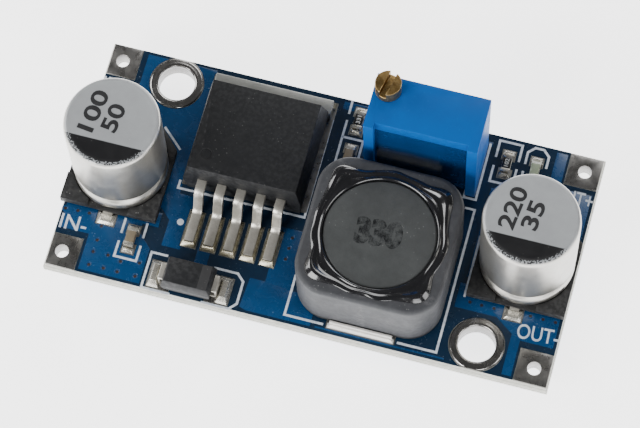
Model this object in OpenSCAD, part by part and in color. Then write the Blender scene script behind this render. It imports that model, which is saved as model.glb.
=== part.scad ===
// Step-down power converter module: circuit board, regulator, inductor, two
// electrolytic capacitors, rectifier, screw-adjusted trimmer and chip parts.
// Millimetres. X runs from the input end to the output end, Y to the back edge,
// Z up. The origin is the centre of the drilled hole pattern, on the underside.

/* [Board] */
// Board length along X
board_l = 43.2; // [43:0.1:44]
// Board width along Y
board_w = 21; // [21:0.1:21.6]
// Board thickness with the solder mask on both sides
board_t = 1.6; // [1.5:0.05:1.7]
// Offset in X of the cut outline from the drilled hole pattern
board_shift = 0.13; // [0:0.01:0.16]
// Bevel that the scoring cut leaves on every edge
score_bevel = 0.15; // [0.1:0.01:0.18]
// Thickness of one solder mask layer
mask_t = 0.04; // [0.03:0.01:0.05]
// Height of the tinned copper lands over the laminate
land_t = 0.07; // [0.06:0.01:0.09]
// Copper wall inside every plated hole
plate_wall = 0.05; // [0.04:0.01:0.06]

/* [Drilled holes] */
// Mounting hole centres in from the ends of the board, before its offset
mount_in_x = 6.4; // [6.3:0.05:6.5]
// Mounting hole centres in from the long edges of the board
mount_in_y = 2.35; // [2.3:0.05:2.45]
// Finished diameter of the mounting holes
mount_hole_d = 3.2; // [3:0.1:3.4]
// Outer diameter of the tinned ring round each mounting hole
mount_ring_d = 4.6; // [4.2:0.1:4.6]
// Wire hole centres in from the ends of the board, before its offset
wire_in_x = 1.35; // [1.3:0.05:1.45]
// Wire hole centres in from the long edges of the board
wire_in_y = 1.55; // [1.5:0.05:1.65]
// Finished diameter of the wire holes
wire_hole_d = 1.15; // [0.9:0.05:1.3]
// Side of the square wire pads, which the board edge cuts short
wire_pad_w = 2.9; // [2.6:0.1:3]

/* [Regulator] */
// Regulator centre in X
reg_x = -6.8; // [-6.9:0.05:-6.7]
// Back edge of the regulator tab in Y
reg_tab_y = 9.42; // [9.3:0.02:9.5]
// Width of the moulded body at its widest line
reg_w = 10.2; // [10:0.1:10.3]
// Length of the moulded body in Y
reg_l = 9.05; // [8.9:0.05:9.2]
// Height of the body over the lands
reg_h = 4.4; // [4.3:0.1:4.6]
// How far the tab stands out behind the body
reg_tab_out = 1.3; // [1.1:0.1:1.4]
// Thickness of the tab
reg_tab_t = 1.27; // [1.1:0.05:1.4]
// Spacing of the five leads
lead_pitch = 1.7; // [1.65:0.01:1.72]
// Width of a lead
lead_w = 0.8; // [0.7:0.05:0.9]
// Thickness of a lead
lead_t = 0.45; // [0.38:0.01:0.5]
// Distance from the body front to the toes of the leads
lead_reach = 4.65; // [4.5:0.05:4.7]

/* [Capacitors] */
// Diameter of the two cans
can_d = 8; // [7.8:0.1:8]
// Top of the cans over the lands
can_h = 10.25; // [10:0.05:10.4]
// Side of the square plastic bases
cap_base_w = 8.3; // [8.2:0.05:8.4]
// Distance of each can centre from the pattern centre in X
cap_x = 17.47; // [17.44:0.01:17.48]
// Input capacitor centre in Y
in_cap_y = -0.57; // [-0.6:0.01:-0.5]
// Output capacitor centre in Y
out_cap_y = -0.18; // [-0.3:0.01:-0.1]

/* [Inductor] */
// Inductor centre in X
ind_x = 5.69; // [5.6:0.01:5.75]
// Inductor centre in Y
ind_y = -3.17; // [-3.2:0.01:-3.05]
// Side of the square ferrite shield
shield_w = 12.3; // [12.1:0.05:12.4]
// Corner radius of the shield
shield_r = 2.8; // [2.4:0.1:3.2]
// Diameter of the round well in the shield
well_d = 10.8; // [10.6:0.1:11]
// Top of the shield over the lands
shield_top = 6.55; // [6.4:0.05:6.8]
// Diameter of the core flanges
core_d = 9.35; // [9.2:0.05:9.5]

/* [Rectifier] */
// Rectifier centre in X
dio_x = -9.12; // [-9.2:0.02:-9]
// Rectifier centre in Y
dio_y = -8.95; // [-9:0.01:-8.9]
// Length of the moulded body in X
dio_l = 4.2; // [4:0.1:4.4]
// Width of the moulded body in Y
dio_w = 2.6; // [2.5:0.05:2.7]
// Top of the body over the lands
dio_h = 2.2; // [2.1:0.05:2.3]

/* [Trimmer] */
// Trimmer centre in X
trim_x = 7.09; // [7:0.01:7.15]
// Trimmer centre in Y
trim_y = 6.7; // [6.65:0.01:6.8]
// Width of the housing in X
trim_w = 9.53; // [9.5:0.01:9.6]
// Depth of the housing in Y
trim_d = 4.83; // [4.8:0.01:4.9]
// Height of the housing over the board
trim_h = 10.03; // [9.95:0.01:10.1]
// Width of the ribs at the ends of the potted face
trim_rib = 0.85; // [0.8:0.05:0.95]
// Depth of the potted face behind the ribs
pot_recess = 0.5; // [0.4:0.05:0.55]
// Screw axis from the left wall
screw_in_x = 1.2; // [1.18:0.01:1.25]
// Screw axis from the back wall
screw_in_y = 1.27; // [1.24:0.01:1.3]
// Diameter of the screw head
screw_head_d = 2.19; // [2.1:0.01:2.2]
// Top of the screw head over the housing
screw_stand = 1.52; // [1.4:0.02:1.6]
// Width of the driver slot
slot_w = 0.56; // [0.5:0.02:0.6]
// Depth of the driver slot
slot_deep = 0.76; // [0.7:0.02:0.8]
// Major diameter of the lead screw
screw_d = 1.4; // [1.36:0.01:1.42]
// Radial running clearance of the screw
run_fit = 0.04; // [0.03:0.01:0.06]
// Turn of the slot about Z
slot_turn = 78; // [0:1:180]
// Spacing of the three pins
pin_pitch = 2.54; // [2.5:0.01:2.58]
// Diameter of a pin
pin_d = 0.51; // [0.48:0.01:0.56]
// How far the pins show under the board
pin_below = 1.2; // [1:0.1:1.6]

/* [Chip parts] */
// Length of a chip part
chip_l = 1.6; // [1.55:0.01:1.65]
// Width of a chip part
chip_w = 0.8; // [0.75:0.01:0.85]
// Height of a chip resistor
res_h = 0.45; // [0.4:0.01:0.5]
// Height of a chip capacitor
cer_h = 0.8; // [0.7:0.01:0.85]
// Length of an end cap of a chip part
end_l = 0.3; // [0.25:0.01:0.35]
// Centre of the set resistor in X
set_res_x = 0.72; // [0.65:0.01:0.8]
// Centre of the set resistor in Y
set_res_y = 8.58; // [8.55:0.01:8.65]
// Centre of the lamp resistor in X
lamp_res_x = 13.74; // [13.65:0.01:13.8]
// Centre of the lamp resistor and of the lamp in Y
lamp_row_y = 7.95; // [7.9:0.01:8.05]
// Centre of the lamp in X
lamp_x = 16.15; // [16.05:0.01:16.25]
// Centre of the input chip capacitor in X
in_cer_x = -14.95; // [-15:0.01:-14.9]
// Centre of the input chip capacitor in Y
in_cer_y = -6.5; // [-6.55:0.01:-6.45]
// Centre of the sense chip capacitor in X
sense_cer_x = 0.72; // [0.65:0.01:0.8]
// Centre of the sense chip capacitor in Y
sense_cer_y = 5.17; // [5.1:0.01:5.2]

/* [Hidden] */
eps = 0.01;
lam_z0 = mask_t;
lam_z1 = board_t - mask_t;
land_z = lam_z1 + land_t;
open_gap = 0.05;
score_deep = 2.6 * score_bevel;
flat_in = score_bevel + 0.02;
bx0 = board_shift - board_l / 2;
bx1 = board_shift + board_l / 2;
by1 = board_w / 2;
mount_span_x = board_l - 2 * mount_in_x;
mount_span_y = board_w - 2 * mount_in_y;
wire_span_x = board_l - 2 * wire_in_x;
wire_span_y = board_w - 2 * wire_in_y;
through = board_t + 2;
drill_d = pin_d + 0.35;
land_ring_d = 1.7;
chip_land_l = 0.9;
// Regulator
reg_back = reg_tab_y - reg_tab_out;
reg_front = reg_back - reg_l;
reg_part_z = 2.3;
reg_draft = 0.45;
reg_tuck = 0.2;
reg_back_rake = 0.64;
reg_front_rake = 0.28;
dimple_in_x = 1.65;
dimple_in_y = 1.78;
dimple_d = 1.0;
dimple_deep = 0.1;
tab_in = 1.2;
lead_top = reg_part_z + 0.38;
lead_toe = reg_front - lead_reach;
lead_bend = reg_front - 1.2;
lead_heel = reg_front - 2.15;
lead_in = 1.6;
lead_slant = 0.3;
lead_land_w = 1.3;
lead_land_y0 = lead_toe - 0.38;
lead_land_y1 = lead_heel + 0.4;
tab_w = reg_w + 0.1;
tab_land_rim = 0.25;
tab_land_y0 = reg_front + 0.4;
tab_land_y1 = reg_tab_y + 0.3;
foot_solder_h = 0.3;
foot_solder_crown = 0.8;
tab_solder_h = 0.55;
tab_solder_rim = 0.22;
tab_solder_crown = 0.02;
tab_solder_y = reg_tab_y - 0.2;
tab_solder_d = 0.9;
tab_solder_top_d = 0.45;
tab_solder_keep = 0.4;
solder_in = 0.01;
// Capacitors
base_z1 = 0.95;
base_lift = 0.12;
can_z0 = 0.45;
can_fit = 0.05;
can_r = can_d / 2;
foot_round = 0.35;
foot_side = 0.1;
foot_side_z = can_z0 + 0.25;
bulge_in = 0.02;
bulge_z = can_z0 + 0.75;
neck_top_in = 0.12;
neck_top_z = can_z0 + 1.15;
groove_in = 0.38;
groove_z0 = can_z0 + 1.4;
groove_deep = 0.42;
groove_z1 = can_z0 + 1.65;
shoulder_in = 0.15;
shoulder_z = can_z0 + 1.95;
wall_z0 = can_z0 + 2.35;
rim_z0 = can_h - 0.42;
rim_in1 = 0.08;
rim_z1 = can_h - 0.18;
rim_in2 = 0.24;
rim_z2 = can_h - 0.04;
rim_in3 = 0.44;
cap_lead_w = 0.82;
cap_lead_t = 0.2;
cap_lead_out = cap_base_w / 2 + 0.45;
cap_lead_in = 1.2;
cap_solder_h = 0.22;
horn_share = 0.42;
cap_land_w = 1.6;
cap_land_y0 = 1.9;
cap_land_y1 = 5.25;
cap_land_mid = (cap_land_y0 + cap_land_y1) / 2;
cap_land_l = cap_land_y1 - cap_land_y0;
cap_toe_l = cap_land_y1 - cap_base_w / 2;
base_cham = 1.7;
// Inductor
ind_base_z0 = 0.2;
ind_base_z1 = 0.7;
core_z0 = ind_base_z1;
core_z1 = shield_top - 0.04;
flange_t = 1.15;
post_d = 4.8;
wind_under = 0.5;
wind_d = core_d - wind_under;
ind_term_w = 5.3;
ind_term_t = 0.2;
ind_term_out = shield_w / 2 + 0.28;
ind_term_up = 0.55;
core_edge = 0.12;
ind_solder_in = 0.25;
ind_solder_d = 0.48;
ind_solder_h = 0.35;
ind_land_w = 5.8;
ind_land_y0 = 3.6;
ind_land_y1 = 6.72;
ind_land_mid = (ind_land_y0 + ind_land_y1) / 2;
ind_land_l = ind_land_y1 - ind_land_y0;
glue_t = 0.12;
glue_in = 0.15;
glue_over = 0.175;
glue_open = 0.125;
pool_r = 1.55;
pool_in = 2.35;
run_w = 1.6;
// Rectifier
dio_part_z = 1.15;
dio_lead_w = 1.45;
dio_lead_t = 0.2;
dio_lead_out = dio_l / 2 + 0.42;
dio_land_x0 = 1.55;
dio_land_x1 = 3.52;
dio_land_mid = (dio_land_x0 + dio_land_x1) / 2;
dio_land_l = dio_land_x1 - dio_land_x0;
dio_land_w = 2.45;
dio_sole_l = dio_lead_out - dio_l / 2 + 0.95;
dio_arm_l = dio_lead_out - dio_l / 2 + 0.5;
dio_tuck = 0.15;
dio_draft_x = 0.24;
dio_draft_y = 0.2;
dio_solder_h = 0.6;
dio_solder_in = 0.05;
dio_solder_share = 0.45;
// Trimmer
tz0 = board_t;
tz1 = board_t + trim_h;
trim_feet = 0.3;
tx0 = trim_x - trim_w / 2;
tx1 = trim_x + trim_w / 2;
ty0 = trim_y - trim_d / 2;
ty1 = trim_y + trim_d / 2;
side_wall = 0.4;
back_wall = 0.4;
roof_t = 1.3;
floor_t = 0.5;
cav_z0 = tz0 + trim_feet + floor_t;
cav_z1 = tz1 - roof_t;
sx = tx0 + screw_in_x;
sy = ty1 - screw_in_y;
pot_y0 = ty0 + pot_recess;
pot_t = 0.5;
elem_y0 = pot_y0 + pot_t;
elem_t = 0.64;
elem_y1 = elem_y0 + elem_t;
neck_d = 1.1;
groove_d = 0.9;
clip_t = 0.25;
clip_mouth = groove_d + 2 * run_fit + 0.04;
clip_z = cav_z1 - 0.05 - clip_t;
ring_r = 0.16;
ring_z = tz1 - 0.55;
wiper_h = 1.2;
wiper_out = 1.5;
finger_gap = 0.05;
cav_mid = (cav_z0 + cav_z1 - 0.45) / 2;
pin_y = elem_y1 + pin_d / 2;
pin_room = pin_d + 0.02;
pin_over = 0.1;
foot_in = 0.3;
bore_fit = 0.03;
elem_gap = 0.05;
elem_lift = 0.35;
head_gap = 0.06;
collar_h = 0.3;
screw_foot_gap = 0.15;
clip_free = 0.04;
clip_over = 1.0;
clip_back = 0.15;
seal_gap = 0.02;
wiper_gap = 0.05;
wiper_front = 0.55;
contact_t = 0.12;
contact_x0 = -0.2;
contact_x1 = 3.1;
contact_h = 1.0;
finger_x0 = 2.3;
finger_x1 = 2.9;
finger_h = 0.7;
pin_cone_h = 0.75;
pin_cone_d = pin_d + 0.25;
// Chip parts
chip_in = 0.02;
coat_t = 0.02;
lamp_base_z = 0.04;
lamp_base_h = 0.26;
lens_h = 0.32;
lens_in = 0.22;
lens_draft = 0.05;
lens_end_draft = 0.06;
chip_solder_h = 0.3;
chip_solder_out = 0.2;
chip_solder_l = 0.56;
chip_solder_rim = 0.12;
chip_solder_draft = 0.1;
chip_land_gap = 0.05;
chip_land_rim = 0.15;

// A box from its corners
module slab(x0, x1, y0, y1, z0, z1)
  translate([x0, y0, z0])
    cube([x1 - x0, y1 - y0, z1 - z0]);

// A box centred on a point in X and Y, standing on z0
module block(cx, cy, z0, w, d, h)
  translate([cx - w / 2, cy - d / 2, z0])
    cube([w, d, h]);

// A round bar standing on z0
module rod(cx, cy, z0, z1, d, n = 32)
  translate([cx, cy, z0])
    cylinder(h = z1 - z0, d = d, $fn = n);

// A flat rectangle with round corners, from squares and circles
module round_rect(w, d, r, n = 32) {
  square([w - 2 * r, d], center = true);
  square([w, d - 2 * r], center = true);
  for (sx1 = [-1, 1])
    for (sy1 = [-1, 1])
      translate([sx1 * (w / 2 - r), sy1 * (d / 2 - r)])
        circle(r = r, $fn = n);
}

// A low block with four sloping sides, standing on its wide face
module heap(cx, cy, z0, w0, d0, w1, d1, h)
  translate([cx, cy, z0])
    intersection() {
      rotate([90, 0, 0])
        linear_extrude(height = d0, center = true)
          polygon([[-w0 / 2, 0], [w0 / 2, 0], [w1 / 2, h], [-w1 / 2, h]]);
      rotate([90, 0, 90])
        linear_extrude(height = w0, center = true)
          polygon([[-d0 / 2, 0], [d0 / 2, 0], [d1 / 2, h], [-d1 / 2, h]]);
    }

// The two mounting holes
module at_mounts()
  for (k = [-1, 1])
    translate([k * mount_span_x / 2, -k * mount_span_y / 2, 0])
      children();

// The three trimmer pins
module at_pins()
  for (k = [-1, 0, 1])
    translate([trim_x + k * pin_pitch, pin_y, 0])
      children();

// The five regulator leads
module at_leads()
  for (k = [-2:2])
    translate([reg_x + k * lead_pitch, 0, 0])
      children();

// The flat of the board inside the scored bevels
module board_flat(grow)
  translate([board_shift, 0])
    square([board_l - 2 * flat_in + 2 * grow, board_w - 2 * flat_in + 2 * grow], center = true);

// Outline of one wire pad, at the end sx1 and the side sy1
module wire_pad(sx1, sy1, grow)
  intersection() {
    translate([sx1 * wire_span_x / 2, sy1 * wire_span_y / 2])
      square([wire_pad_w + 2 * grow, wire_pad_w + 2 * grow], center = true);
    board_flat(2 * grow);
  }

// One rectangular land, widened by grow for the opening in the mask
module land(cx, cy, w, d, grow)
  translate([cx, cy])
    square([w + 2 * grow, d + 2 * grow], center = true);

// All the lands of the surface-mounted parts, as flat shapes
module land_shapes(grow) {
  at_leads()
    land(0, (lead_land_y0 + lead_land_y1) / 2, lead_land_w, lead_land_y1 - lead_land_y0, grow);
  land(reg_x, (tab_land_y0 + tab_land_y1) / 2, tab_w + 2 * tab_land_rim, tab_land_y1 - tab_land_y0, grow);
  for (e = [-1, 1]) {
    land(-cap_x, in_cap_y + e * cap_land_mid, cap_land_w, cap_land_l, grow);
    land(cap_x, out_cap_y + e * cap_land_mid, cap_land_w, cap_land_l, grow);
    land(ind_x, ind_y + e * ind_land_mid, ind_land_w, ind_land_l, grow);
    land(dio_x + e * dio_land_mid, dio_y, dio_land_l, dio_land_w, grow);
  }
  at_chips()
    for (e = [-1, 1])
      land(0, e * (chip_l / 2 + chip_land_gap), chip_w + 2 * chip_land_rim, chip_land_l, grow);
}

// The five chip-sized parts, all with their length along Y
module at_chips() {
  translate([set_res_x, set_res_y])
    children();
  translate([lamp_res_x, lamp_row_y])
    children();
  translate([lamp_x, lamp_row_y])
    children();
  translate([in_cer_x, in_cer_y])
    children();
  translate([sense_cer_x, sense_cer_y])
    children();
}

// One mask layer, open over every land and hole
module mask_layer(z0, z1, top) {
  difference() {
    slab(bx0 + score_bevel, bx1 - score_bevel, -by1 + score_bevel, by1 - score_bevel, z0, z1);
    at_mounts()
      rod(0, 0, z0 - 1, z1 + 1, mount_ring_d + 2 * open_gap, 48);
    translate([0, 0, z0 - 1])
      linear_extrude(height = z1 - z0 + 2)
        for (s = [-1, 1])
          for (e = [-1, 1])
            wire_pad(s, e, open_gap);
    at_pins()
      rod(0, 0, z0 - 1, z1 + 1, land_ring_d + 2 * open_gap, 24);
    if (top)
      translate([0, 0, z0 - 1])
        linear_extrude(height = z1 - z0 + 2)
          land_shapes(open_gap);
  }
}

module circuit_board()
  color([0.72, 0.71, 0.62])
    difference() {
      intersection() {
        rotate([90, 0, 0])
          linear_extrude(height = board_w, center = true)
            polygon([
              [bx0 + score_bevel, lam_z0], [bx1 - score_bevel, lam_z0],
              [bx1, lam_z0 + score_deep], [bx1, lam_z1 - score_deep],
              [bx1 - score_bevel, lam_z1], [bx0 + score_bevel, lam_z1],
              [bx0, lam_z1 - score_deep], [bx0, lam_z0 + score_deep]
            ]);
        translate([board_shift, 0, 0])
          rotate([90, 0, 90])
            linear_extrude(height = board_l, center = true)
              polygon([
                [-by1 + score_bevel, lam_z0], [by1 - score_bevel, lam_z0],
                [by1, lam_z0 + score_deep], [by1, lam_z1 - score_deep],
                [by1 - score_bevel, lam_z1], [-by1 + score_bevel, lam_z1],
                [-by1, lam_z1 - score_deep], [-by1, lam_z0 + score_deep]
              ]);
      }
      at_mounts()
        rod(0, 0, -1, through, mount_hole_d + 2 * plate_wall, 48);
      for (s = [-1, 1])
        for (e = [-1, 1])
          rod(s * wire_span_x / 2, e * wire_span_y / 2, -1, through, wire_hole_d + 2 * plate_wall);
      at_pins()
        rod(0, 0, -1, through, drill_d + 2 * plate_wall, 24);
    }

module solder_mask_top()
  color([0.02, 0.22, 0.46])
    mask_layer(lam_z1, board_t, true);

module solder_mask_bottom()
  color([0.02, 0.22, 0.46])
    mask_layer(0, lam_z0, false);

// A plated hole: barrel in the drilled hole and a flat ring on both faces
module eyelet(hole_d, ring_d, n)
  difference() {
    union() {
      rod(0, 0, lam_z1, land_z, ring_d, n);
      rod(0, 0, lam_z0, lam_z1, hole_d + 2 * plate_wall, n);
      rod(0, 0, 0, lam_z0, ring_d, n);
    }
    rod(0, 0, -1, through, hole_d, n);
  }

module mounting_hole_plating()
  color([0.72, 0.73, 0.72])
    intersection() {
      at_mounts()
        eyelet(mount_hole_d, mount_ring_d, 48);
      translate([0, 0, -1])
        linear_extrude(height = through + 1)
          board_flat(0);
    }

module wire_hole_plating()
  color([0.72, 0.73, 0.72])
    for (s = [-1, 1])
      for (e = [-1, 1])
        difference() {
          union() {
            translate([0, 0, lam_z1])
              linear_extrude(height = land_t)
                wire_pad(s, e, 0);
            rod(s * wire_span_x / 2, e * wire_span_y / 2, lam_z0, lam_z1, wire_hole_d + 2 * plate_wall);
            linear_extrude(height = lam_z0)
              wire_pad(s, e, 0);
          }
          rod(s * wire_span_x / 2, e * wire_span_y / 2, -1, through, wire_hole_d);
        }

module trimmer_hole_plating()
  color([0.72, 0.73, 0.72])
    at_pins()
      eyelet(drill_d, land_ring_d, 24);

module solder_lands()
  color([0.72, 0.73, 0.72])
    translate([0, 0, lam_z1])
      linear_extrude(height = land_t)
        land_shapes(0);

// Regulator body shape before the leads and the tab are taken out
module regulator_block() {
  intersection() {
    translate([reg_x, (reg_front + reg_back) / 2, land_z])
      rotate([90, 0, 0])
        linear_extrude(height = reg_l, center = true)
          polygon([
            [-reg_w / 2 + reg_tuck, 0], [reg_w / 2 - reg_tuck, 0],
            [reg_w / 2, reg_part_z], [reg_w / 2 - reg_draft, reg_h],
            [-reg_w / 2 + reg_draft, reg_h], [-reg_w / 2, reg_part_z]
          ]);
    translate([reg_x, 0, land_z])
      rotate([90, 0, 90])
        linear_extrude(height = reg_w, center = true)
          polygon([
            [reg_front + reg_tuck, 0], [reg_back, 0], [reg_back, reg_tab_t],
            [reg_back - reg_back_rake, reg_h], [reg_front + reg_front_rake, reg_h], [reg_front, reg_part_z]
          ]);
  }
}

// Side view of one bent lead
module lead_profile()
  polygon([
    [reg_front + lead_in, lead_top], [lead_bend, lead_top],
    [lead_heel, lead_t], [lead_toe, lead_t], [lead_toe, 0],
    [lead_heel + lead_slant, 0], [lead_bend + lead_slant, lead_top - lead_t],
    [reg_front + lead_in, lead_top - lead_t]
  ]);

module lead_solids()
  at_leads()
    translate([0, 0, land_z])
      rotate([90, 0, 90])
        linear_extrude(height = lead_w, center = true)
          lead_profile();

// Tab plate, with the part under the body narrower than the part behind it
module tab_plate() {
  block(reg_x, reg_tab_y - reg_tab_out / 2, land_z, tab_w, reg_tab_out, reg_tab_t);
  block(reg_x, (reg_front + tab_in + reg_back) / 2, land_z,
        reg_w - 2 * tab_in, reg_back - reg_front - tab_in, reg_tab_t);
}

module regulator_tab()
  color([0.80, 0.80, 0.78])
    tab_plate();

module regulator_body()
  color([0.11, 0.11, 0.12])
    difference() {
      regulator_block();
      tab_plate();
      lead_solids();
      rod(reg_x - reg_w / 2 + dimple_in_x, reg_front + dimple_in_y,
          land_z + reg_h - dimple_deep, land_z + reg_h + 1, dimple_d);
    }

module regulator_leads()
  color([0.82, 0.82, 0.80])
    lead_solids();

module regulator_solder()
  color([0.70, 0.71, 0.70]) {
    difference() {
      at_leads()
        heap(0, (lead_land_y0 + lead_land_y1) / 2, land_z, lead_land_w - 2 * solder_in,
             lead_land_y1 - lead_land_y0 - 2 * solder_in, lead_w + 10 * solder_in,
             lead_land_y1 - lead_land_y0 - foot_solder_crown, foot_solder_h);
      lead_solids();
    }
    difference() {
      heap(reg_x, tab_solder_y, land_z, tab_w + 2 * tab_solder_rim, tab_solder_d,
           tab_w + 2 * tab_solder_crown, tab_solder_top_d, tab_solder_h);
      tab_plate();
      slab(reg_x - tab_w, reg_x + tab_w, reg_front, reg_tab_y - tab_solder_keep, land_z - 1, land_z + reg_h);
    }
  }

// A capacitor can: crimped foot, bead groove, straight wall and rolled edge
module can_shape(cx, cy)
  color([0.78, 0.79, 0.80])
    translate([cx, cy, land_z])
      rotate_extrude($fn = 56)
        polygon([
          [0, can_z0], [can_r - foot_round, can_z0], [can_r - foot_side, foot_side_z],
          [can_r - bulge_in, bulge_z], [can_r - neck_top_in, neck_top_z],
          [can_r - groove_in, groove_z0], [can_r - groove_deep, groove_z1],
          [can_r - shoulder_in, shoulder_z], [can_r, wall_z0],
          [can_r, rim_z0], [can_r - rim_in1, rim_z1],
          [can_r - rim_in2, rim_z2], [can_r - rim_in3, can_h],
          [0, can_h]
        ]);

// Outline of a capacitor base, chamfered on the two back corners
module base_outline(w)
  polygon([
    [-w / 2, -w / 2], [w / 2, -w / 2], [w / 2, w / 2 - base_cham],
    [w / 2 - base_cham, w / 2], [-w / 2 + base_cham, w / 2], [-w / 2, w / 2 - base_cham]
  ]);

// The two flat terminals of one capacitor
module cap_leads(cx, cy)
  for (e = [-1, 1])
    block(cx, cy + e * (cap_lead_out + cap_lead_in) / 2, land_z,
          cap_lead_w, cap_lead_out - cap_lead_in, cap_lead_t);

module cap_base(cx, cy)
  color([0.07, 0.07, 0.08])
    difference() {
      union() {
        translate([cx, cy, land_z + base_lift])
          linear_extrude(height = can_z0 - base_lift)
            base_outline(cap_base_w);
        translate([cx, cy, land_z + can_z0 - eps])
          linear_extrude(height = base_z1 - can_z0)
            difference() {
              base_outline(cap_base_w);
              circle(d = can_d + 2 * can_fit, $fn = 56);
              square([cap_base_w + 1, cap_base_w * horn_share], center = true);
              square([cap_base_w * horn_share, cap_base_w + 1], center = true);
            }
      }
      cap_leads(cx, cy);
    }

module input_capacitor_can()
  can_shape(-cap_x, in_cap_y);

module output_capacitor_can()
  can_shape(cap_x, out_cap_y);

module input_capacitor_base()
  cap_base(-cap_x, in_cap_y);

module output_capacitor_base()
  cap_base(cap_x, out_cap_y);

module input_capacitor_terminals()
  color([0.82, 0.82, 0.80])
    cap_leads(-cap_x, in_cap_y);

module output_capacitor_terminals()
  color([0.82, 0.82, 0.80])
    cap_leads(cap_x, out_cap_y);

// Solder round one pair of capacitor terminals
module cap_solder_pair(cx, cy)
  difference() {
    for (e = [-1, 1])
      heap(cx, cy + e * (cap_base_w / 2 + cap_land_y1) / 2, land_z, cap_land_w - 10 * solder_in,
           cap_toe_l, cap_lead_w + 10 * solder_in, cap_toe_l / 2, cap_solder_h);
    cap_leads(cx, cy);
  }

module capacitor_solder()
  color([0.70, 0.71, 0.70]) {
    cap_solder_pair(-cap_x, in_cap_y);
    cap_solder_pair(cap_x, out_cap_y);
  }

module inductor_shield()
  color([0.27, 0.27, 0.28])
    translate([ind_x, ind_y, land_z + ind_base_z1])
      difference() {
        linear_extrude(height = shield_top - ind_base_z1)
          round_rect(shield_w, shield_w, shield_r);
        rod(0, 0, -1, shield_top + 1, well_d, 64);
      }

module inductor_core()
  color([0.33, 0.33, 0.34])
    translate([ind_x, ind_y, land_z])
      rotate_extrude($fn = 56)
        polygon([
          [0, core_z0], [core_d / 2, core_z0], [core_d / 2, core_z0 + flange_t],
          [post_d / 2, core_z0 + flange_t], [post_d / 2, core_z1 - flange_t],
          [core_d / 2, core_z1 - flange_t], [core_d / 2, core_z1 - core_edge],
          [core_d / 2 - core_edge, core_z1], [0, core_z1]
        ]);

module inductor_winding()
  color([0.62, 0.33, 0.16])
    translate([ind_x, ind_y, land_z])
      rotate_extrude($fn = 40)
        polygon([
          [post_d / 2, core_z0 + flange_t], [wind_d / 2, core_z0 + flange_t],
          [wind_d / 2, core_z1 - flange_t], [post_d / 2, core_z1 - flange_t]
        ]);

// Outline of the glue on top of the shield: a ring, four corner pools and a
// wider run at the front
module glue_outline()
  intersection() {
    round_rect(shield_w - 2 * glue_in, shield_w - 2 * glue_in, shield_r);
    union() {
      circle(d = well_d + 2 * glue_over, $fn = 64);
      for (s = [-1, 1])
        for (e = [-1, 1])
          translate([s * (shield_w / 2 - pool_in), e * (shield_w / 2 - pool_in)])
            circle(r = pool_r, $fn = 24);
      translate([-shield_w / 2 + run_w, -shield_w / 2])
        square([shield_w - 2 * run_w, run_w]);
    }
  }

module inductor_glue()
  color([0.05, 0.05, 0.06])
    translate([ind_x, ind_y, land_z]) {
      difference() {
        translate([0, 0, shield_top])
          linear_extrude(height = glue_t)
            glue_outline();
        rod(0, 0, 0, shield_top + 1, core_d + 2 * glue_open, 56);
      }
      difference() {
        rod(0, 0, shield_top - flange_t, shield_top, well_d, 64);
        rod(0, 0, 0, shield_top + 1, core_d, 56);
      }
    }

module inductor_base()
  color([0.14, 0.14, 0.15])
    difference() {
      translate([ind_x, ind_y, land_z + ind_base_z0])
        linear_extrude(height = ind_base_z1 - ind_base_z0)
          round_rect(shield_w - 2 * open_gap, shield_w - 2 * open_gap, shield_r);
      ind_terminals();
    }

// The two wrap-round plates of the inductor
module ind_terminals()
  for (e = [-1, 1])
    translate([ind_x, ind_y, land_z]) {
      block(0, e * (ind_term_out + ind_land_y0) / 2, 0, ind_term_w, ind_term_out - ind_land_y0, ind_term_t);
      block(0, e * (ind_term_out - ind_term_t / 2), ind_term_t, ind_term_w, ind_term_t, ind_term_up);
    }

module inductor_terminals()
  color([0.82, 0.82, 0.80])
    ind_terminals();

module inductor_solder()
  color([0.70, 0.71, 0.70])
    difference() {
      for (e = [-1, 1])
        heap(ind_x, ind_y + e * (ind_land_y1 - ind_solder_in), land_z, ind_land_w - 10 * solder_in,
             ind_solder_d, ind_term_w - 30 * solder_in, 10 * solder_in, ind_solder_h);
      ind_terminals();
    }

// The two bent leads: a sole on the land, an upright and an arm into the body
module dio_leads_shape()
  for (e = [-1, 1])
    translate([dio_x, dio_y, land_z]) {
      block(e * (dio_lead_out - dio_sole_l / 2), 0, 0, dio_sole_l, dio_lead_w, dio_lead_t);
      block(e * (dio_lead_out - dio_lead_t / 2), 0, 0, dio_lead_t, dio_lead_w, dio_part_z + dio_lead_t);
      block(e * (dio_lead_out - dio_arm_l / 2), 0, dio_part_z, dio_arm_l, dio_lead_w, dio_lead_t);
    }

module rectifier_body()
  color([0.12, 0.12, 0.13])
    difference() {
      translate([dio_x, dio_y, land_z])
        intersection() {
          rotate([90, 0, 0])
            linear_extrude(height = dio_w, center = true)
              polygon([
                [-dio_l / 2 + dio_tuck, dio_lead_t], [dio_l / 2 - dio_tuck, dio_lead_t],
                [dio_l / 2, dio_part_z], [dio_l / 2, dio_part_z + dio_lead_t],
                [dio_l / 2 - dio_draft_x, dio_h], [-dio_l / 2 + dio_draft_x, dio_h],
                [-dio_l / 2, dio_part_z + dio_lead_t], [-dio_l / 2, dio_part_z]
              ]);
          rotate([90, 0, 90])
            linear_extrude(height = dio_l, center = true)
              polygon([
                [-dio_w / 2 + dio_tuck, dio_lead_t], [dio_w / 2 - dio_tuck, dio_lead_t],
                [dio_w / 2, dio_part_z], [dio_w / 2, dio_part_z + dio_lead_t],
                [dio_w / 2 - dio_draft_y, dio_h], [-dio_w / 2 + dio_draft_y, dio_h],
                [-dio_w / 2, dio_part_z + dio_lead_t], [-dio_w / 2, dio_part_z]
              ]);
        }
      dio_leads_shape();
    }

module rectifier_leads()
  color([0.82, 0.82, 0.80])
    dio_leads_shape();

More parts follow.
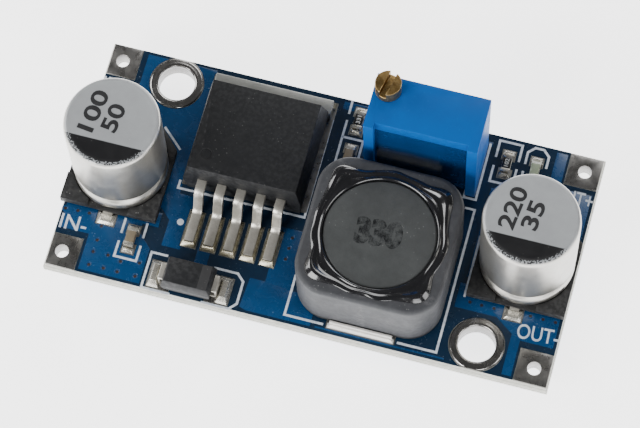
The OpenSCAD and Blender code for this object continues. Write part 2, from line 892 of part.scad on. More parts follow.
module rectifier_solder()
  color([0.70, 0.71, 0.70])
    difference() {
      for (e = [-1, 1])
        heap(dio_x + e * (dio_land_x1 + dio_lead_out) / 2 - e * dio_solder_in, dio_y, land_z,
             dio_land_x1 - dio_lead_out + dio_solder_in, dio_land_w - 2 * dio_solder_in,
             (dio_land_x1 - dio_lead_out) * dio_solder_share, dio_lead_w, dio_solder_h);
      dio_leads_shape();
    }

// Cavity behind the ribs of the trimmer housing
module trim_cavity() {
  slab(tx0 + side_wall, tx1 - side_wall, elem_y0, ty1 - back_wall, cav_z0, cav_z1);
  slab(tx0 + trim_rib, tx1 - trim_rib, ty0 - 1, ty1 - back_wall, cav_z0, cav_z1);
}

module trimmer_housing()
  color([0.02, 0.36, 0.68])
    difference() {
      union() {
        slab(tx0, tx1, ty0, ty1, tz0 + trim_feet, tz1);
        for (s = [0, 1])
          slab(s < 1 ? tx0 : tx1 - trim_rib, s < 1 ? tx0 + trim_rib : tx1,
               ty0 + foot_in, ty1 - foot_in, tz0, tz0 + trim_feet + eps);
      }
      trim_cavity();
      slab(tx0 + trim_rib, tx1 - trim_rib, ty0 - 1, pot_y0, tz0 - 1, tz1 + 1);
      slab(tx0 + trim_rib, tx1 - trim_rib, ty0 - 1, elem_y1 + pin_room, tz0 - 1, cav_z0 + 1);
      rod(sx, sy, cav_z1 - 1, tz1 + 1, screw_d + 2 * run_fit + 2 * bore_fit);
      rod(sx, sy, ring_z - ring_r - eps, ring_z + ring_r + eps, neck_d + 4 * ring_r + 2 * bore_fit);
    }

module trimmer_potting()
  color([0.01, 0.10, 0.24])
    difference() {
      union() {
        slab(tx0 + trim_rib, tx1 - trim_rib, pot_y0, elem_y0, tz0 + trim_feet, cav_z1);
        slab(tx0 + trim_rib, tx1 - trim_rib, elem_y0, elem_y1 + pin_room, tz0 + trim_feet, cav_z0);
      }
      elem_plate();
      trim_pin_shape();
    }

// Ceramic plate that carries the resistance track
module elem_plate()
  slab(tx0 + trim_rib + elem_gap, tx1 - trim_rib - elem_gap, elem_y0, elem_y1,
       tz0 + trim_feet + elem_lift, cav_z1);

module trimmer_element()
  color([0.86, 0.86, 0.82])
    elem_plate();

module trim_pin_shape()
  at_pins()
    rod(0, 0, -pin_below, cav_z0 + pin_over, pin_d, 20);

module trimmer_pins()
  color([0.80, 0.80, 0.78])
    trim_pin_shape();

module trimmer_screw()
  color([0.72, 0.60, 0.34])
    translate([sx, sy, 0])
      difference() {
        union() {
          rod(0, 0, tz1 + head_gap, tz1 + screw_stand, screw_head_d, 48);
          rod(0, 0, tz1 - collar_h, tz1 + head_gap + eps, screw_d, 32);
          rod(0, 0, clip_z + clip_t + clip_free, tz1 - collar_h + eps, neck_d, 32);
          rod(0, 0, clip_z - clip_free - eps, clip_z + clip_t + clip_free + eps, groove_d, 24);
          rod(0, 0, cav_z0 + screw_foot_gap, clip_z - clip_free, screw_d, 32);
        }
        rotate([0, 0, slot_turn])
          block(0, 0, tz1 + screw_stand - slot_deep, 2 * screw_head_d, slot_w, slot_deep + 1);
      }

module trimmer_clip()
  color([0.75, 0.75, 0.76])
    difference() {
      slab(tx0 + side_wall, sx + clip_over, elem_y1 + clip_back, ty1 - back_wall, clip_z, clip_z + clip_t);
      rod(sx, sy, clip_z - 1, clip_z + 1, clip_mouth, 24);
      slab(sx - clip_mouth / 2, sx + clip_mouth / 2, elem_y1 - 1, sy, clip_z - 1, clip_z + 1);
    }

module trimmer_seal()
  color([0.06, 0.06, 0.06])
    translate([sx, sy, ring_z])
      rotate_extrude($fn = 32)
        translate([neck_d / 2 + ring_r + seal_gap, 0])
          circle(r = ring_r, $fn = 14);

module trimmer_wiper()
  color([0.88, 0.88, 0.84])
    difference() {
      slab(tx0 + side_wall + wiper_gap, sx + wiper_out, elem_y1 + wiper_front, ty1 - back_wall - wiper_gap,
           cav_mid - wiper_h / 2, cav_mid + wiper_h / 2);
      rod(sx, sy, cav_mid - wiper_h, cav_mid + wiper_h, screw_d + 2 * run_fit, 32);
    }

module trimmer_contact()
  color([0.80, 0.66, 0.30]) {
    slab(sx + contact_x0, sx + contact_x1, elem_y1 + wiper_front - contact_t, elem_y1 + wiper_front,
         cav_mid - contact_h / 2, cav_mid + contact_h / 2);
    slab(sx + finger_x0, sx + finger_x1, elem_y1 + finger_gap, elem_y1 + wiper_front - contact_t + eps,
         cav_mid - finger_h / 2, cav_mid + finger_h / 2);
  }

module trimmer_solder()
  color([0.70, 0.71, 0.70])
    difference() {
      union() {
        at_pins()
          rod(0, 0, -open_gap, board_t, drill_d, 24);
        at_pins()
          translate([0, 0, -pin_cone_h])
            cylinder(h = pin_cone_h, d1 = pin_cone_d, d2 = land_ring_d - 2 * open_gap, $fn = 24);
      }
      trim_pin_shape();
    }

// One chip part: middle, and two end caps wrapped round its ends
module chip_mid(cx, cy, h)
  block(cx, cy, land_z + chip_in, chip_w - 2 * chip_in, chip_l - 2 * chip_in, h - 2 * chip_in);

module chip_ends(cx, cy, h)
  difference() {
    for (e = [-1, 1])
      block(cx, cy + e * (chip_l - end_l) / 2, land_z, chip_w, end_l, h);
    chip_mid(cx, cy, h);
  }

module chip_coat(cx, cy, h)
  block(cx, cy, land_z + h - chip_in, chip_w - 3 * chip_in, chip_l - 2 * end_l, chip_in + coat_t);

module set_resistor_chip()
  color([0.85, 0.85, 0.82])
    chip_mid(set_res_x, set_res_y, res_h);

module set_resistor_coat()
  color([0.08, 0.08, 0.09])
    chip_coat(set_res_x, set_res_y, res_h);

module set_resistor_ends()
  color([0.80, 0.80, 0.80])
    chip_ends(set_res_x, set_res_y, res_h);

module lamp_resistor_chip()
  color([0.85, 0.85, 0.82])
    chip_mid(lamp_res_x, lamp_row_y, res_h);

module lamp_resistor_coat()
  color([0.08, 0.08, 0.09])
    chip_coat(lamp_res_x, lamp_row_y, res_h);

module lamp_resistor_ends()
  color([0.80, 0.80, 0.80])
    chip_ends(lamp_res_x, lamp_row_y, res_h);

module input_chip_capacitor()
  color([0.52, 0.42, 0.32])
    chip_mid(in_cer_x, in_cer_y, cer_h);

module input_chip_capacitor_ends()
  color([0.80, 0.80, 0.80])
    chip_ends(in_cer_x, in_cer_y, cer_h);

module sense_chip_capacitor()
  color([0.52, 0.42, 0.32])
    chip_mid(sense_cer_x, sense_cer_y, cer_h);

module sense_chip_capacitor_ends()
  color([0.80, 0.80, 0.80])
    chip_ends(sense_cer_x, sense_cer_y, cer_h);

// Lamp: white base, clear lens and a foot at each end
module lamp_base()
  color([0.88, 0.90, 0.84])
    block(lamp_x, lamp_row_y, land_z + lamp_base_z, chip_w, chip_l, lamp_base_h);

module lamp_lens()
  color([0.82, 0.86, 0.78])
    heap(lamp_x, lamp_row_y, land_z + lamp_base_z + lamp_base_h, chip_w, chip_l - 2 * lens_in,
         chip_w - 2 * lens_draft, chip_l - 2 * lens_in - 2 * lens_end_draft, lens_h);

module lamp_ends()
  color([0.80, 0.72, 0.45])
    for (e = [-1, 1])
      block(lamp_x, lamp_row_y + e * (chip_l - end_l) / 2, land_z, chip_w, end_l, lamp_base_z);

// Solder fillets at both ends of the five chip parts
module chip_solder()
  color([0.70, 0.71, 0.70])
    difference() {
      at_chips()
        for (e = [-1, 1])
          heap(0, e * (chip_l / 2 + chip_solder_out), land_z, chip_w + 2 * chip_solder_rim, chip_solder_l,
               chip_w - 2 * chip_solder_draft, 2 * open_gap, chip_solder_h);
      at_chips()
        block(0, 0, land_z - 1, chip_w, chip_l, 3);
    }

circuit_board();
solder_mask_top();
solder_mask_bottom();
mounting_hole_plating();
wire_hole_plating();
trimmer_hole_plating();
solder_lands();
regulator_tab();
regulator_body();
regulator_leads();
regulator_solder();
input_capacitor_can();
input_capacitor_base();
input_capacitor_terminals();
output_capacitor_can();
output_capacitor_base();
output_capacitor_terminals();
capacitor_solder();
inductor_shield();
inductor_core();
inductor_winding();
inductor_glue();
inductor_base();
inductor_terminals();
inductor_solder();
rectifier_body();
rectifier_leads();
rectifier_solder();
trimmer_housing();
trimmer_potting();
trimmer_element();
trimmer_pins();
trimmer_screw();
trimmer_clip();
trimmer_seal();
trimmer_wiper();
trimmer_contact();
trimmer_solder();
set_resistor_chip();
set_resistor_coat();
set_resistor_ends();
lamp_resistor_chip();
lamp_resistor_coat();
lamp_resistor_ends();
input_chip_capacitor();
input_chip_capacitor_ends();
sense_chip_capacitor();
sense_chip_capacitor_ends();
lamp_base();
lamp_lens();
lamp_ends();
chip_solder();
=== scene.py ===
"""Looks of a step-down power converter module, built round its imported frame."""

from __future__ import annotations

import contextlib
import logging
import math
from collections.abc import Callable, Iterator, Sequence
from dataclasses import dataclass, field, replace
from enum import Enum

import bmesh
import bpy
from mathutils import Matrix, Vector


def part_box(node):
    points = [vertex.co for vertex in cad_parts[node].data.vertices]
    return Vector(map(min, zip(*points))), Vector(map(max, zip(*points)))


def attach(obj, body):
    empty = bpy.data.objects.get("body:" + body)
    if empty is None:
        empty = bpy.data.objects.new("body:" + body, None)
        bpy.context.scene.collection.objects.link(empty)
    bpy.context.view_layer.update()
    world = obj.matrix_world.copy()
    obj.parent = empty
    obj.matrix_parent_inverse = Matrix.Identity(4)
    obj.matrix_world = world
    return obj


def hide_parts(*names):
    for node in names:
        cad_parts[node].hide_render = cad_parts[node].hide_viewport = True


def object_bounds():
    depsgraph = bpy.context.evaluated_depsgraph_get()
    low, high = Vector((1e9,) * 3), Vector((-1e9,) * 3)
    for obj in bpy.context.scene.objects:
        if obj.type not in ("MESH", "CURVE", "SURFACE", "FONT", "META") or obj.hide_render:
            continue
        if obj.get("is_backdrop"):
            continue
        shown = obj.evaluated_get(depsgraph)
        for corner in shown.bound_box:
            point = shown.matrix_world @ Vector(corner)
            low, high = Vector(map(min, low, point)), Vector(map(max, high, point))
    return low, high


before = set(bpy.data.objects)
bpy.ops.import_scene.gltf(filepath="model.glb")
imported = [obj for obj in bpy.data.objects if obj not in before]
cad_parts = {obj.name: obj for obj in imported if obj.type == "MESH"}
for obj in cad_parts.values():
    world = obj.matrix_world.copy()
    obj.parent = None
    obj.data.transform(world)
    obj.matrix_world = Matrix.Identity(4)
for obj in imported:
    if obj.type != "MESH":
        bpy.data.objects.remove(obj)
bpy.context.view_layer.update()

LOG = logging.getLogger("converter_module")
MM = 0.001

Colour = tuple[float, float, float]
Point = tuple[float, float]


def srgb(red: int, green: int, blue: int) -> Colour:
    """Turns a display colour into the linear colour that shaders use.

    Args:
        red: Red from 0 to 255.
        green: Green from 0 to 255.
        blue: Blue from 0 to 255.

    Returns:
        The linear red, green and blue.
    """

    def channel(value: float) -> float:
        """Takes the display curve off one channel."""
        return value / 12.92 if value <= 0.04045 else ((value + 0.055) / 1.055) ** 2.4

    return channel(red / 255), channel(green / 255), channel(blue / 255)


class Body(Enum):
    """The moving groups of the module."""

    MODULE = "module"
    ADJUSTER = "adjuster"
    WIPER = "wiper"


class Slot(Enum):
    """The record's material slots, by name."""

    LAMINATE = "laminate"
    MASK = "solder_mask"
    TIN = "tinned_copper"
    LEAD = "lead_tin"
    SOLDER = "solder"
    EPOXY = "black_epoxy"
    CAN = "can_aluminium"
    BASE = "black_plastic"
    FERRITE = "ferrite"
    GLUE = "black_glue"
    BLUE = "blue_plastic"
    POTTING = "blue_potting"
    BRASS = "brass_screw"
    COAT = "black_glaze"
    CERAMIC = "brown_ceramic"
    LAMP = "lamp_resin"
    LAMP_BASE = "lamp_white"


# --------------------------------------------------------------------------
# Shader groups shared by the finishes
# --------------------------------------------------------------------------


class Effects:
    """Shader node groups that more than one finish uses, each built once."""

    _made: dict[str, bpy.types.NodeTree] = {}

    @classmethod
    def _start(
        cls, name: str, inputs: Sequence[tuple[str, str, object]], outputs: Sequence[tuple[str, str]]
    ) -> tuple[bpy.types.NodeTree, bpy.types.Node, bpy.types.Node]:
        """Opens a new group with its sockets.

        Args:
            name: Name of the group.
            inputs: Name, socket type and default value of each input.
            outputs: Name and socket type of each output.

        Returns:
            The tree, its input node and its output node.
        """
        tree = bpy.data.node_groups.new(name, "ShaderNodeTree")
        for label, kind, value in inputs:
            socket = tree.interface.new_socket(label, in_out="INPUT", socket_type=kind)
            socket.default_value = value
        for label, kind in outputs:
            tree.interface.new_socket(label, in_out="OUTPUT", socket_type=kind)
        cls._made[name] = tree
        return tree, tree.nodes.new("NodeGroupInput"), tree.nodes.new("NodeGroupOutput")

    @classmethod
    def drift(cls) -> bpy.types.NodeTree:
        """Slow and fast change between two colours, on Object coordinates.

        Returns:
            A group with inputs Light, Dark, Scale and Contrast, and outputs Color and Mask.
        """
        if "colour_drift" in cls._made:
            return cls._made["colour_drift"]
        tree, head, tail = cls._start(
            "colour_drift",
            [
                ("Light", "NodeSocketColor", (1, 1, 1, 1)),
                ("Dark", "NodeSocketColor", (0, 0, 0, 1)),
                ("Scale", "NodeSocketFloat", 1000.0),
                ("Contrast", "NodeSocketFloat", 0.3),
            ],
            [("Color", "NodeSocketColor"), ("Mask", "NodeSocketFloat")],
        )
        place = tree.nodes.new("ShaderNodeTexCoord")
        slow = tree.nodes.new("ShaderNodeTexNoise")
        slow.inputs["Detail"].default_value = 4.0
        slow.inputs["Roughness"].default_value = 0.62
        fast = tree.nodes.new("ShaderNodeTexNoise")
        fast.inputs["Detail"].default_value = 2.0
        times = math_node(tree, "MULTIPLY", None, 6.3)
        low = math_node(tree, "SUBTRACT", 0.5, None)
        high = math_node(tree, "ADD", 0.5, None)
        blend = math_node(tree, "MULTIPLY_ADD", None, 0.3)
        ramp = tree.nodes.new("ShaderNodeMapRange")
        mix = colour_mix(tree)
        link = tree.links.new
        link(place.outputs["Object"], slow.inputs["Vector"])
        link(place.outputs["Object"], fast.inputs["Vector"])
        link(head.outputs["Scale"], slow.inputs["Scale"])
        link(head.outputs["Scale"], times.inputs[0])
        link(times.outputs[0], fast.inputs["Scale"])
        shrink = math_node(tree, "MULTIPLY", None, 0.7)
        link(slow.outputs["Fac"], shrink.inputs[0])
        link(fast.outputs["Fac"], blend.inputs[0])
        link(shrink.outputs[0], blend.inputs[2])
        link(head.outputs["Contrast"], low.inputs[1])
        link(head.outputs["Contrast"], high.inputs[1])
        link(blend.outputs[0], ramp.inputs["Value"])
        link(low.outputs[0], ramp.inputs["From Min"])
        link(high.outputs[0], ramp.inputs["From Max"])
        link(ramp.outputs["Result"], mix.inputs["Factor"])
        link(head.outputs["Dark"], mix.inputs["A"])
        link(head.outputs["Light"], mix.inputs["B"])
        link(mix.outputs["Result"], tail.inputs["Color"])
        link(ramp.outputs["Result"], tail.inputs["Mask"])
        return tree

    @classmethod
    def grain(cls) -> bpy.types.NodeTree:
        """Fine relief with a slower swell under it.

        Returns:
            A group with inputs Scale, Strength, Depth and Stretch, and output Normal.
        """
        if "fine_grain" in cls._made:
            return cls._made["fine_grain"]
        tree, head, tail = cls._start(
            "fine_grain",
            [
                ("Scale", "NodeSocketFloat", 8000.0),
                ("Strength", "NodeSocketFloat", 0.2),
                ("Depth", "NodeSocketFloat", 0.00002),
                ("Stretch", "NodeSocketVector", (1, 1, 1)),
            ],
            [("Normal", "NodeSocketVector")],
        )
        place = tree.nodes.new("ShaderNodeTexCoord")
        pull = tree.nodes.new("ShaderNodeVectorMath")
        pull.operation = "MULTIPLY"
        fine = tree.nodes.new("ShaderNodeTexNoise")
        fine.inputs["Detail"].default_value = 5.0
        fine.inputs["Roughness"].default_value = 0.6
        slow = tree.nodes.new("ShaderNodeTexNoise")
        slow.inputs["Detail"].default_value = 1.0
        less = math_node(tree, "MULTIPLY", None, 0.13)
        total = math_node(tree, "MULTIPLY_ADD", None, 0.55)
        bump = tree.nodes.new("ShaderNodeBump")
        link = tree.links.new
        link(place.outputs["Object"], pull.inputs[0])
        link(head.outputs["Stretch"], pull.inputs[1])
        link(pull.outputs[0], fine.inputs["Vector"])
        link(pull.outputs[0], slow.inputs["Vector"])
        link(head.outputs["Scale"], fine.inputs["Scale"])
        link(head.outputs["Scale"], less.inputs[0])
        link(less.outputs[0], slow.inputs["Scale"])
        link(fine.outputs["Fac"], total.inputs[0])
        link(slow.outputs["Fac"], total.inputs[2])
        link(total.outputs[0], bump.inputs["Height"])
        link(head.outputs["Strength"], bump.inputs["Strength"])
        link(head.outputs["Depth"], bump.inputs["Distance"])
        link(bump.outputs["Normal"], tail.inputs["Normal"])
        return tree

    @classmethod
    def wear(cls) -> bpy.types.NodeTree:
        """Where handling has rubbed the raised edges, broken up by noise.

        Returns:
            A group with inputs Amount and Scale, and output Mask.
        """
        if "edge_wear" in cls._made:
            return cls._made["edge_wear"]
        tree, head, tail = cls._start(
            "edge_wear",
            [("Amount", "NodeSocketFloat", 0.5), ("Scale", "NodeSocketFloat", 3000.0)],
            [("Mask", "NodeSocketFloat")],
        )
        place = tree.nodes.new("ShaderNodeTexCoord")
        shape = tree.nodes.new("ShaderNodeNewGeometry")
        edge = tree.nodes.new("ShaderNodeMapRange")
        edge.inputs["From Min"].default_value = 0.52
        edge.inputs["From Max"].default_value = 0.62
        noise = tree.nodes.new("ShaderNodeTexNoise")
        noise.inputs["Detail"].default_value = 4.0
        patch = tree.nodes.new("ShaderNodeMapRange")
        patch.inputs["From Min"].default_value = 0.42
        patch.inputs["From Max"].default_value = 0.62
        both = math_node(tree, "MULTIPLY")
        scaled = math_node(tree, "MULTIPLY")
        scaled.use_clamp = True
        link = tree.links.new
        link(place.outputs["Object"], noise.inputs["Vector"])
        link(head.outputs["Scale"], noise.inputs["Scale"])
        link(shape.outputs["Pointiness"], edge.inputs["Value"])
        link(noise.outputs["Fac"], patch.inputs["Value"])
        link(edge.outputs["Result"], both.inputs[0])
        link(patch.outputs["Result"], both.inputs[1])
        link(both.outputs[0], scaled.inputs[0])
        link(head.outputs["Amount"], scaled.inputs[1])
        link(scaled.outputs[0], tail.inputs["Mask"])
        return tree

    @classmethod
    def dust(cls) -> bpy.types.NodeTree:
        """Specks that lie on whatever faces up.

        Returns:
            A group with inputs Amount and Scale, and output Mask.
        """
        if "fallen_dust" in cls._made:
            return cls._made["fallen_dust"]
        tree, head, tail = cls._start(
            "fallen_dust",
            [("Amount", "NodeSocketFloat", 0.3), ("Scale", "NodeSocketFloat", 2500.0)],
            [("Mask", "NodeSocketFloat")],
        )
        place = tree.nodes.new("ShaderNodeTexCoord")
        shape = tree.nodes.new("ShaderNodeNewGeometry")
        split = tree.nodes.new("ShaderNodeSeparateXYZ")
        up = tree.nodes.new("ShaderNodeMapRange")
        up.inputs["From Min"].default_value = 0.3
        up.inputs["From Max"].default_value = 0.9
        cells = tree.nodes.new("ShaderNodeTexVoronoi")
        speck = tree.nodes.new("ShaderNodeMapRange")
        speck.inputs["From Min"].default_value = 0.16
        speck.inputs["From Max"].default_value = 0.06
        cloud = tree.nodes.new("ShaderNodeTexNoise")
        cloud.inputs["Scale"].default_value = 420.0
        thin = tree.nodes.new("ShaderNodeMapRange")
        thin.inputs["From Min"].default_value = 0.48
        thin.inputs["From Max"].default_value = 0.72
        one = math_node(tree, "MULTIPLY")
        two = math_node(tree, "MULTIPLY")
        three = math_node(tree, "MULTIPLY")
        three.use_clamp = True
        link = tree.links.new
        link(place.outputs["Object"], cells.inputs["Vector"])
        link(place.outputs["Object"], cloud.inputs["Vector"])
        link(head.outputs["Scale"], cells.inputs["Scale"])
        link(shape.outputs["Normal"], split.inputs[0])
        link(split.outputs["Z"], up.inputs["Value"])
        link(cells.outputs["Distance"], speck.inputs["Value"])
        link(cloud.outputs["Fac"], thin.inputs["Value"])
        link(up.outputs["Result"], one.inputs[0])
        link(speck.outputs["Result"], one.inputs[1])
        link(one.outputs[0], two.inputs[0])
        link(thin.outputs["Result"], two.inputs[1])
        link(two.outputs[0], three.inputs[0])
        link(head.outputs["Amount"], three.inputs[1])
        link(three.outputs[0], tail.inputs["Mask"])
        return tree

    @classmethod
    def smudge(cls) -> bpy.types.NodeTree:
        """Roughness that changes in soft patches and faint rubbed lines.

        Returns:
            A group with inputs Smooth, Rough and Scale, and output Roughness.
        """
        if "soft_smudge" in cls._made:
            return cls._made["soft_smudge"]
        tree, head, tail = cls._start(
            "soft_smudge",
            [
                ("Smooth", "NodeSocketFloat", 0.2),
                ("Rough", "NodeSocketFloat", 0.4),
                ("Scale", "NodeSocketFloat", 700.0),
            ],
            [("Roughness", "NodeSocketFloat")],
        )
        place = tree.nodes.new("ShaderNodeTexCoord")
        patch = tree.nodes.new("ShaderNodeTexNoise")
        patch.inputs["Detail"].default_value = 6.0
        patch.inputs["Roughness"].default_value = 0.7
        patch.inputs["Distortion"].default_value = 0.6
        span = tree.nodes.new("ShaderNodeMapRange")
        span.inputs["From Min"].default_value = 0.32
        span.inputs["From Max"].default_value = 0.68
        link = tree.links.new
        link(place.outputs["Object"], patch.inputs["Vector"])
        link(head.outputs["Scale"], patch.inputs["Scale"])
        link(patch.outputs["Fac"], span.inputs["Value"])
        link(head.outputs["Smooth"], span.inputs["To Min"])
        link(head.outputs["Rough"], span.inputs["To Max"])
        link(span.outputs["Result"], tail.inputs["Roughness"])
        return tree


def math_node(
    tree: bpy.types.NodeTree, operation: str, first: float | None = None, second: float | None = None
) -> bpy.types.Node:
    """Adds one Math node.

    Args:
        tree: Node tree to add it to.
        operation: Blender's name of the operation.
        first: Value of the first input, where nothing is linked to it.
        second: Value of the second input, where nothing is linked to it.

    Returns:
        The node.
    """
    node = tree.nodes.new("ShaderNodeMath")
    node.operation = operation
    if first is not None:
        node.inputs[0].default_value = first
    if second is not None:
        node.inputs[1].default_value = second
    return node


class Mixer:
    """A colour Mix node with its sockets under plain names."""

    def __init__(self, node: bpy.types.Node) -> None:
        """Keeps the node's colour sockets.

        Args:
            node: A Mix node set to colours.
        """
        self.node = node
        self.inputs = {"Factor": node.inputs[0], "A": node.inputs[6], "B": node.inputs[7]}
        self.outputs = {"Result": node.outputs[2]}


def colour_mix(tree: bpy.types.NodeTree, mode: str = "MIX") -> Mixer:
    """Adds one colour Mix node.

    Args:
        tree: Node tree to add it to.
        mode: Blender's name of the blend mode.

    Returns:
        The node behind plain socket names.
    """
    node = tree.nodes.new("ShaderNodeMix")
    node.data_type = "RGBA"
    node.blend_type = mode
    return Mixer(node)


# --------------------------------------------------------------------------
# Finishes
# --------------------------------------------------------------------------


@dataclass(frozen=True)
class Finish:
    """One surface finish: its colours, gloss, relief, wear and dust."""

    name: str
    light: Colour
    dark: Colour
    metal: float = 0.0
    smooth: float = 0.35
    rough: float = 0.5
    drift_scale: float = 900.0
    contrast: float = 0.25
    grain_scale: float = 9000.0
    grain_strength: float = 0.25
    grain_depth: float = 0.00002
    stretch: tuple[float, float, float] = (1.0, 1.0, 1.0)
    worn: Colour = (0.3, 0.3, 0.3)
    wear: float = 0.0
    wear_scale: float = 3000.0
    dust: float = 0.0
    dust_colour: Colour = (0.55, 0.55, 0.53)
    coat: float = 0.0
    coat_rough: float = 0.1
    specular: float = 0.5
    glow: float = 0.0
    ior: float = 1.5

    def colour(self, tree: bpy.types.NodeTree) -> bpy.types.NodeSocket:
        """Builds the base colour before wear and dust.

        Args:
            tree: The material's node tree.

        Returns:
            The socket that holds the colour.
        """
        drift = tree.nodes.new("ShaderNodeGroup")
        drift.node_tree = Effects.drift()
        drift.inputs["Light"].default_value = (*self.light, 1)
        drift.inputs["Dark"].default_value = (*self.dark, 1)
        drift.inputs["Scale"].default_value = self.drift_scale
        drift.inputs["Contrast"].default_value = self.contrast
        return drift.outputs["Color"]

    def roughness(self, tree: bpy.types.NodeTree) -> bpy.types.NodeSocket:
        """Builds the roughness.

        Args:
            tree: The material's node tree.

        Returns:
            The socket that holds the roughness.
        """
        smudge = tree.nodes.new("ShaderNodeGroup")
        smudge.node_tree = Effects.smudge()
        smudge.inputs["Smooth"].default_value = self.smooth
        smudge.inputs["Rough"].default_value = self.rough
        return smudge.outputs["Roughness"]

    def normal(self, tree: bpy.types.NodeTree) -> bpy.types.NodeSocket:
        """Builds the relief.

        Args:
            tree: The material's node tree.

        Returns:
            The socket that holds the normal.
        """
        grain = tree.nodes.new("ShaderNodeGroup")
        grain.node_tree = Effects.grain()
        grain.inputs["Scale"].default_value = self.grain_scale
        grain.inputs["Strength"].default_value = self.grain_strength
        grain.inputs["Depth"].default_value = self.grain_depth
        grain.inputs["Stretch"].default_value = self.stretch
        return grain.outputs["Normal"]

    def overlay(
        self, tree: bpy.types.NodeTree, colour: bpy.types.NodeSocket, group: bpy.types.NodeTree,
        amount: float, scale: float, over: Colour,
    ) -> bpy.types.NodeSocket:
        """Lays one masked colour over another.

        Args:
            tree: The material's node tree.
            colour: The colour underneath.
            group: The shader group that makes the mask.
            amount: Strength of the mask.
            scale: Scale of the mask.
            over: The colour on top.

        Returns:
            The socket that holds the mixed colour.
        """
        mask = tree.nodes.new("ShaderNodeGroup")
        mask.node_tree = group
        mask.inputs["Amount"].default_value = amount
        mask.inputs["Scale"].default_value = scale
        mix = colour_mix(tree)
        mix.inputs["B"].default_value = (*over, 1)
        tree.links.new(mask.outputs["Mask"], mix.inputs["Factor"])
        tree.links.new(colour, mix.inputs["A"])
        return mix.outputs["Result"]

    def material(self) -> bpy.types.Material:
        """Makes the material once, and gives it again after that.

        Returns:
            The material with its nodes.
        """
        found = bpy.data.materials.get(self.name)
        if found is not None and found.get("module_finish"):
            return found
        made = bpy.data.materials.new(self.name)
        made["module_finish"] = True
        made.use_nodes = True
        tree = made.node_tree
        shader = tree.nodes["Principled BSDF"]
        colour = self.colour(tree)
        if self.wear > 0:
            colour = self.overlay(tree, colour, Effects.wear(), self.wear, self.wear_scale, self.worn)
        if self.dust > 0:
            colour = self.overlay(tree, colour, Effects.dust(), self.dust, 2600.0, self.dust_colour)
        tree.links.new(colour, shader.inputs["Base Color"])
        tree.links.new(self.roughness(tree), shader.inputs["Roughness"])
        tree.links.new(self.normal(tree), shader.inputs["Normal"])
        shader.inputs["Metallic"].default_value = self.metal
        shader.inputs["IOR"].default_value = self.ior
        shader.inputs["Specular IOR Level"].default_value = self.specular
        shader.inputs["Coat Weight"].default_value = self.coat
        shader.inputs["Coat Roughness"].default_value = self.coat_rough
        if self.glow > 0:
            tree.links.new(colour, shader.inputs["Emission Color"])
            shader.inputs["Emission Strength"].default_value = self.glow
        self.finish_shader(tree, shader)
        return made

    def finish_shader(self, tree: bpy.types.NodeTree, shader: bpy.types.Node) -> None:
        """Sets what only some finishes need; a plain finish needs nothing."""


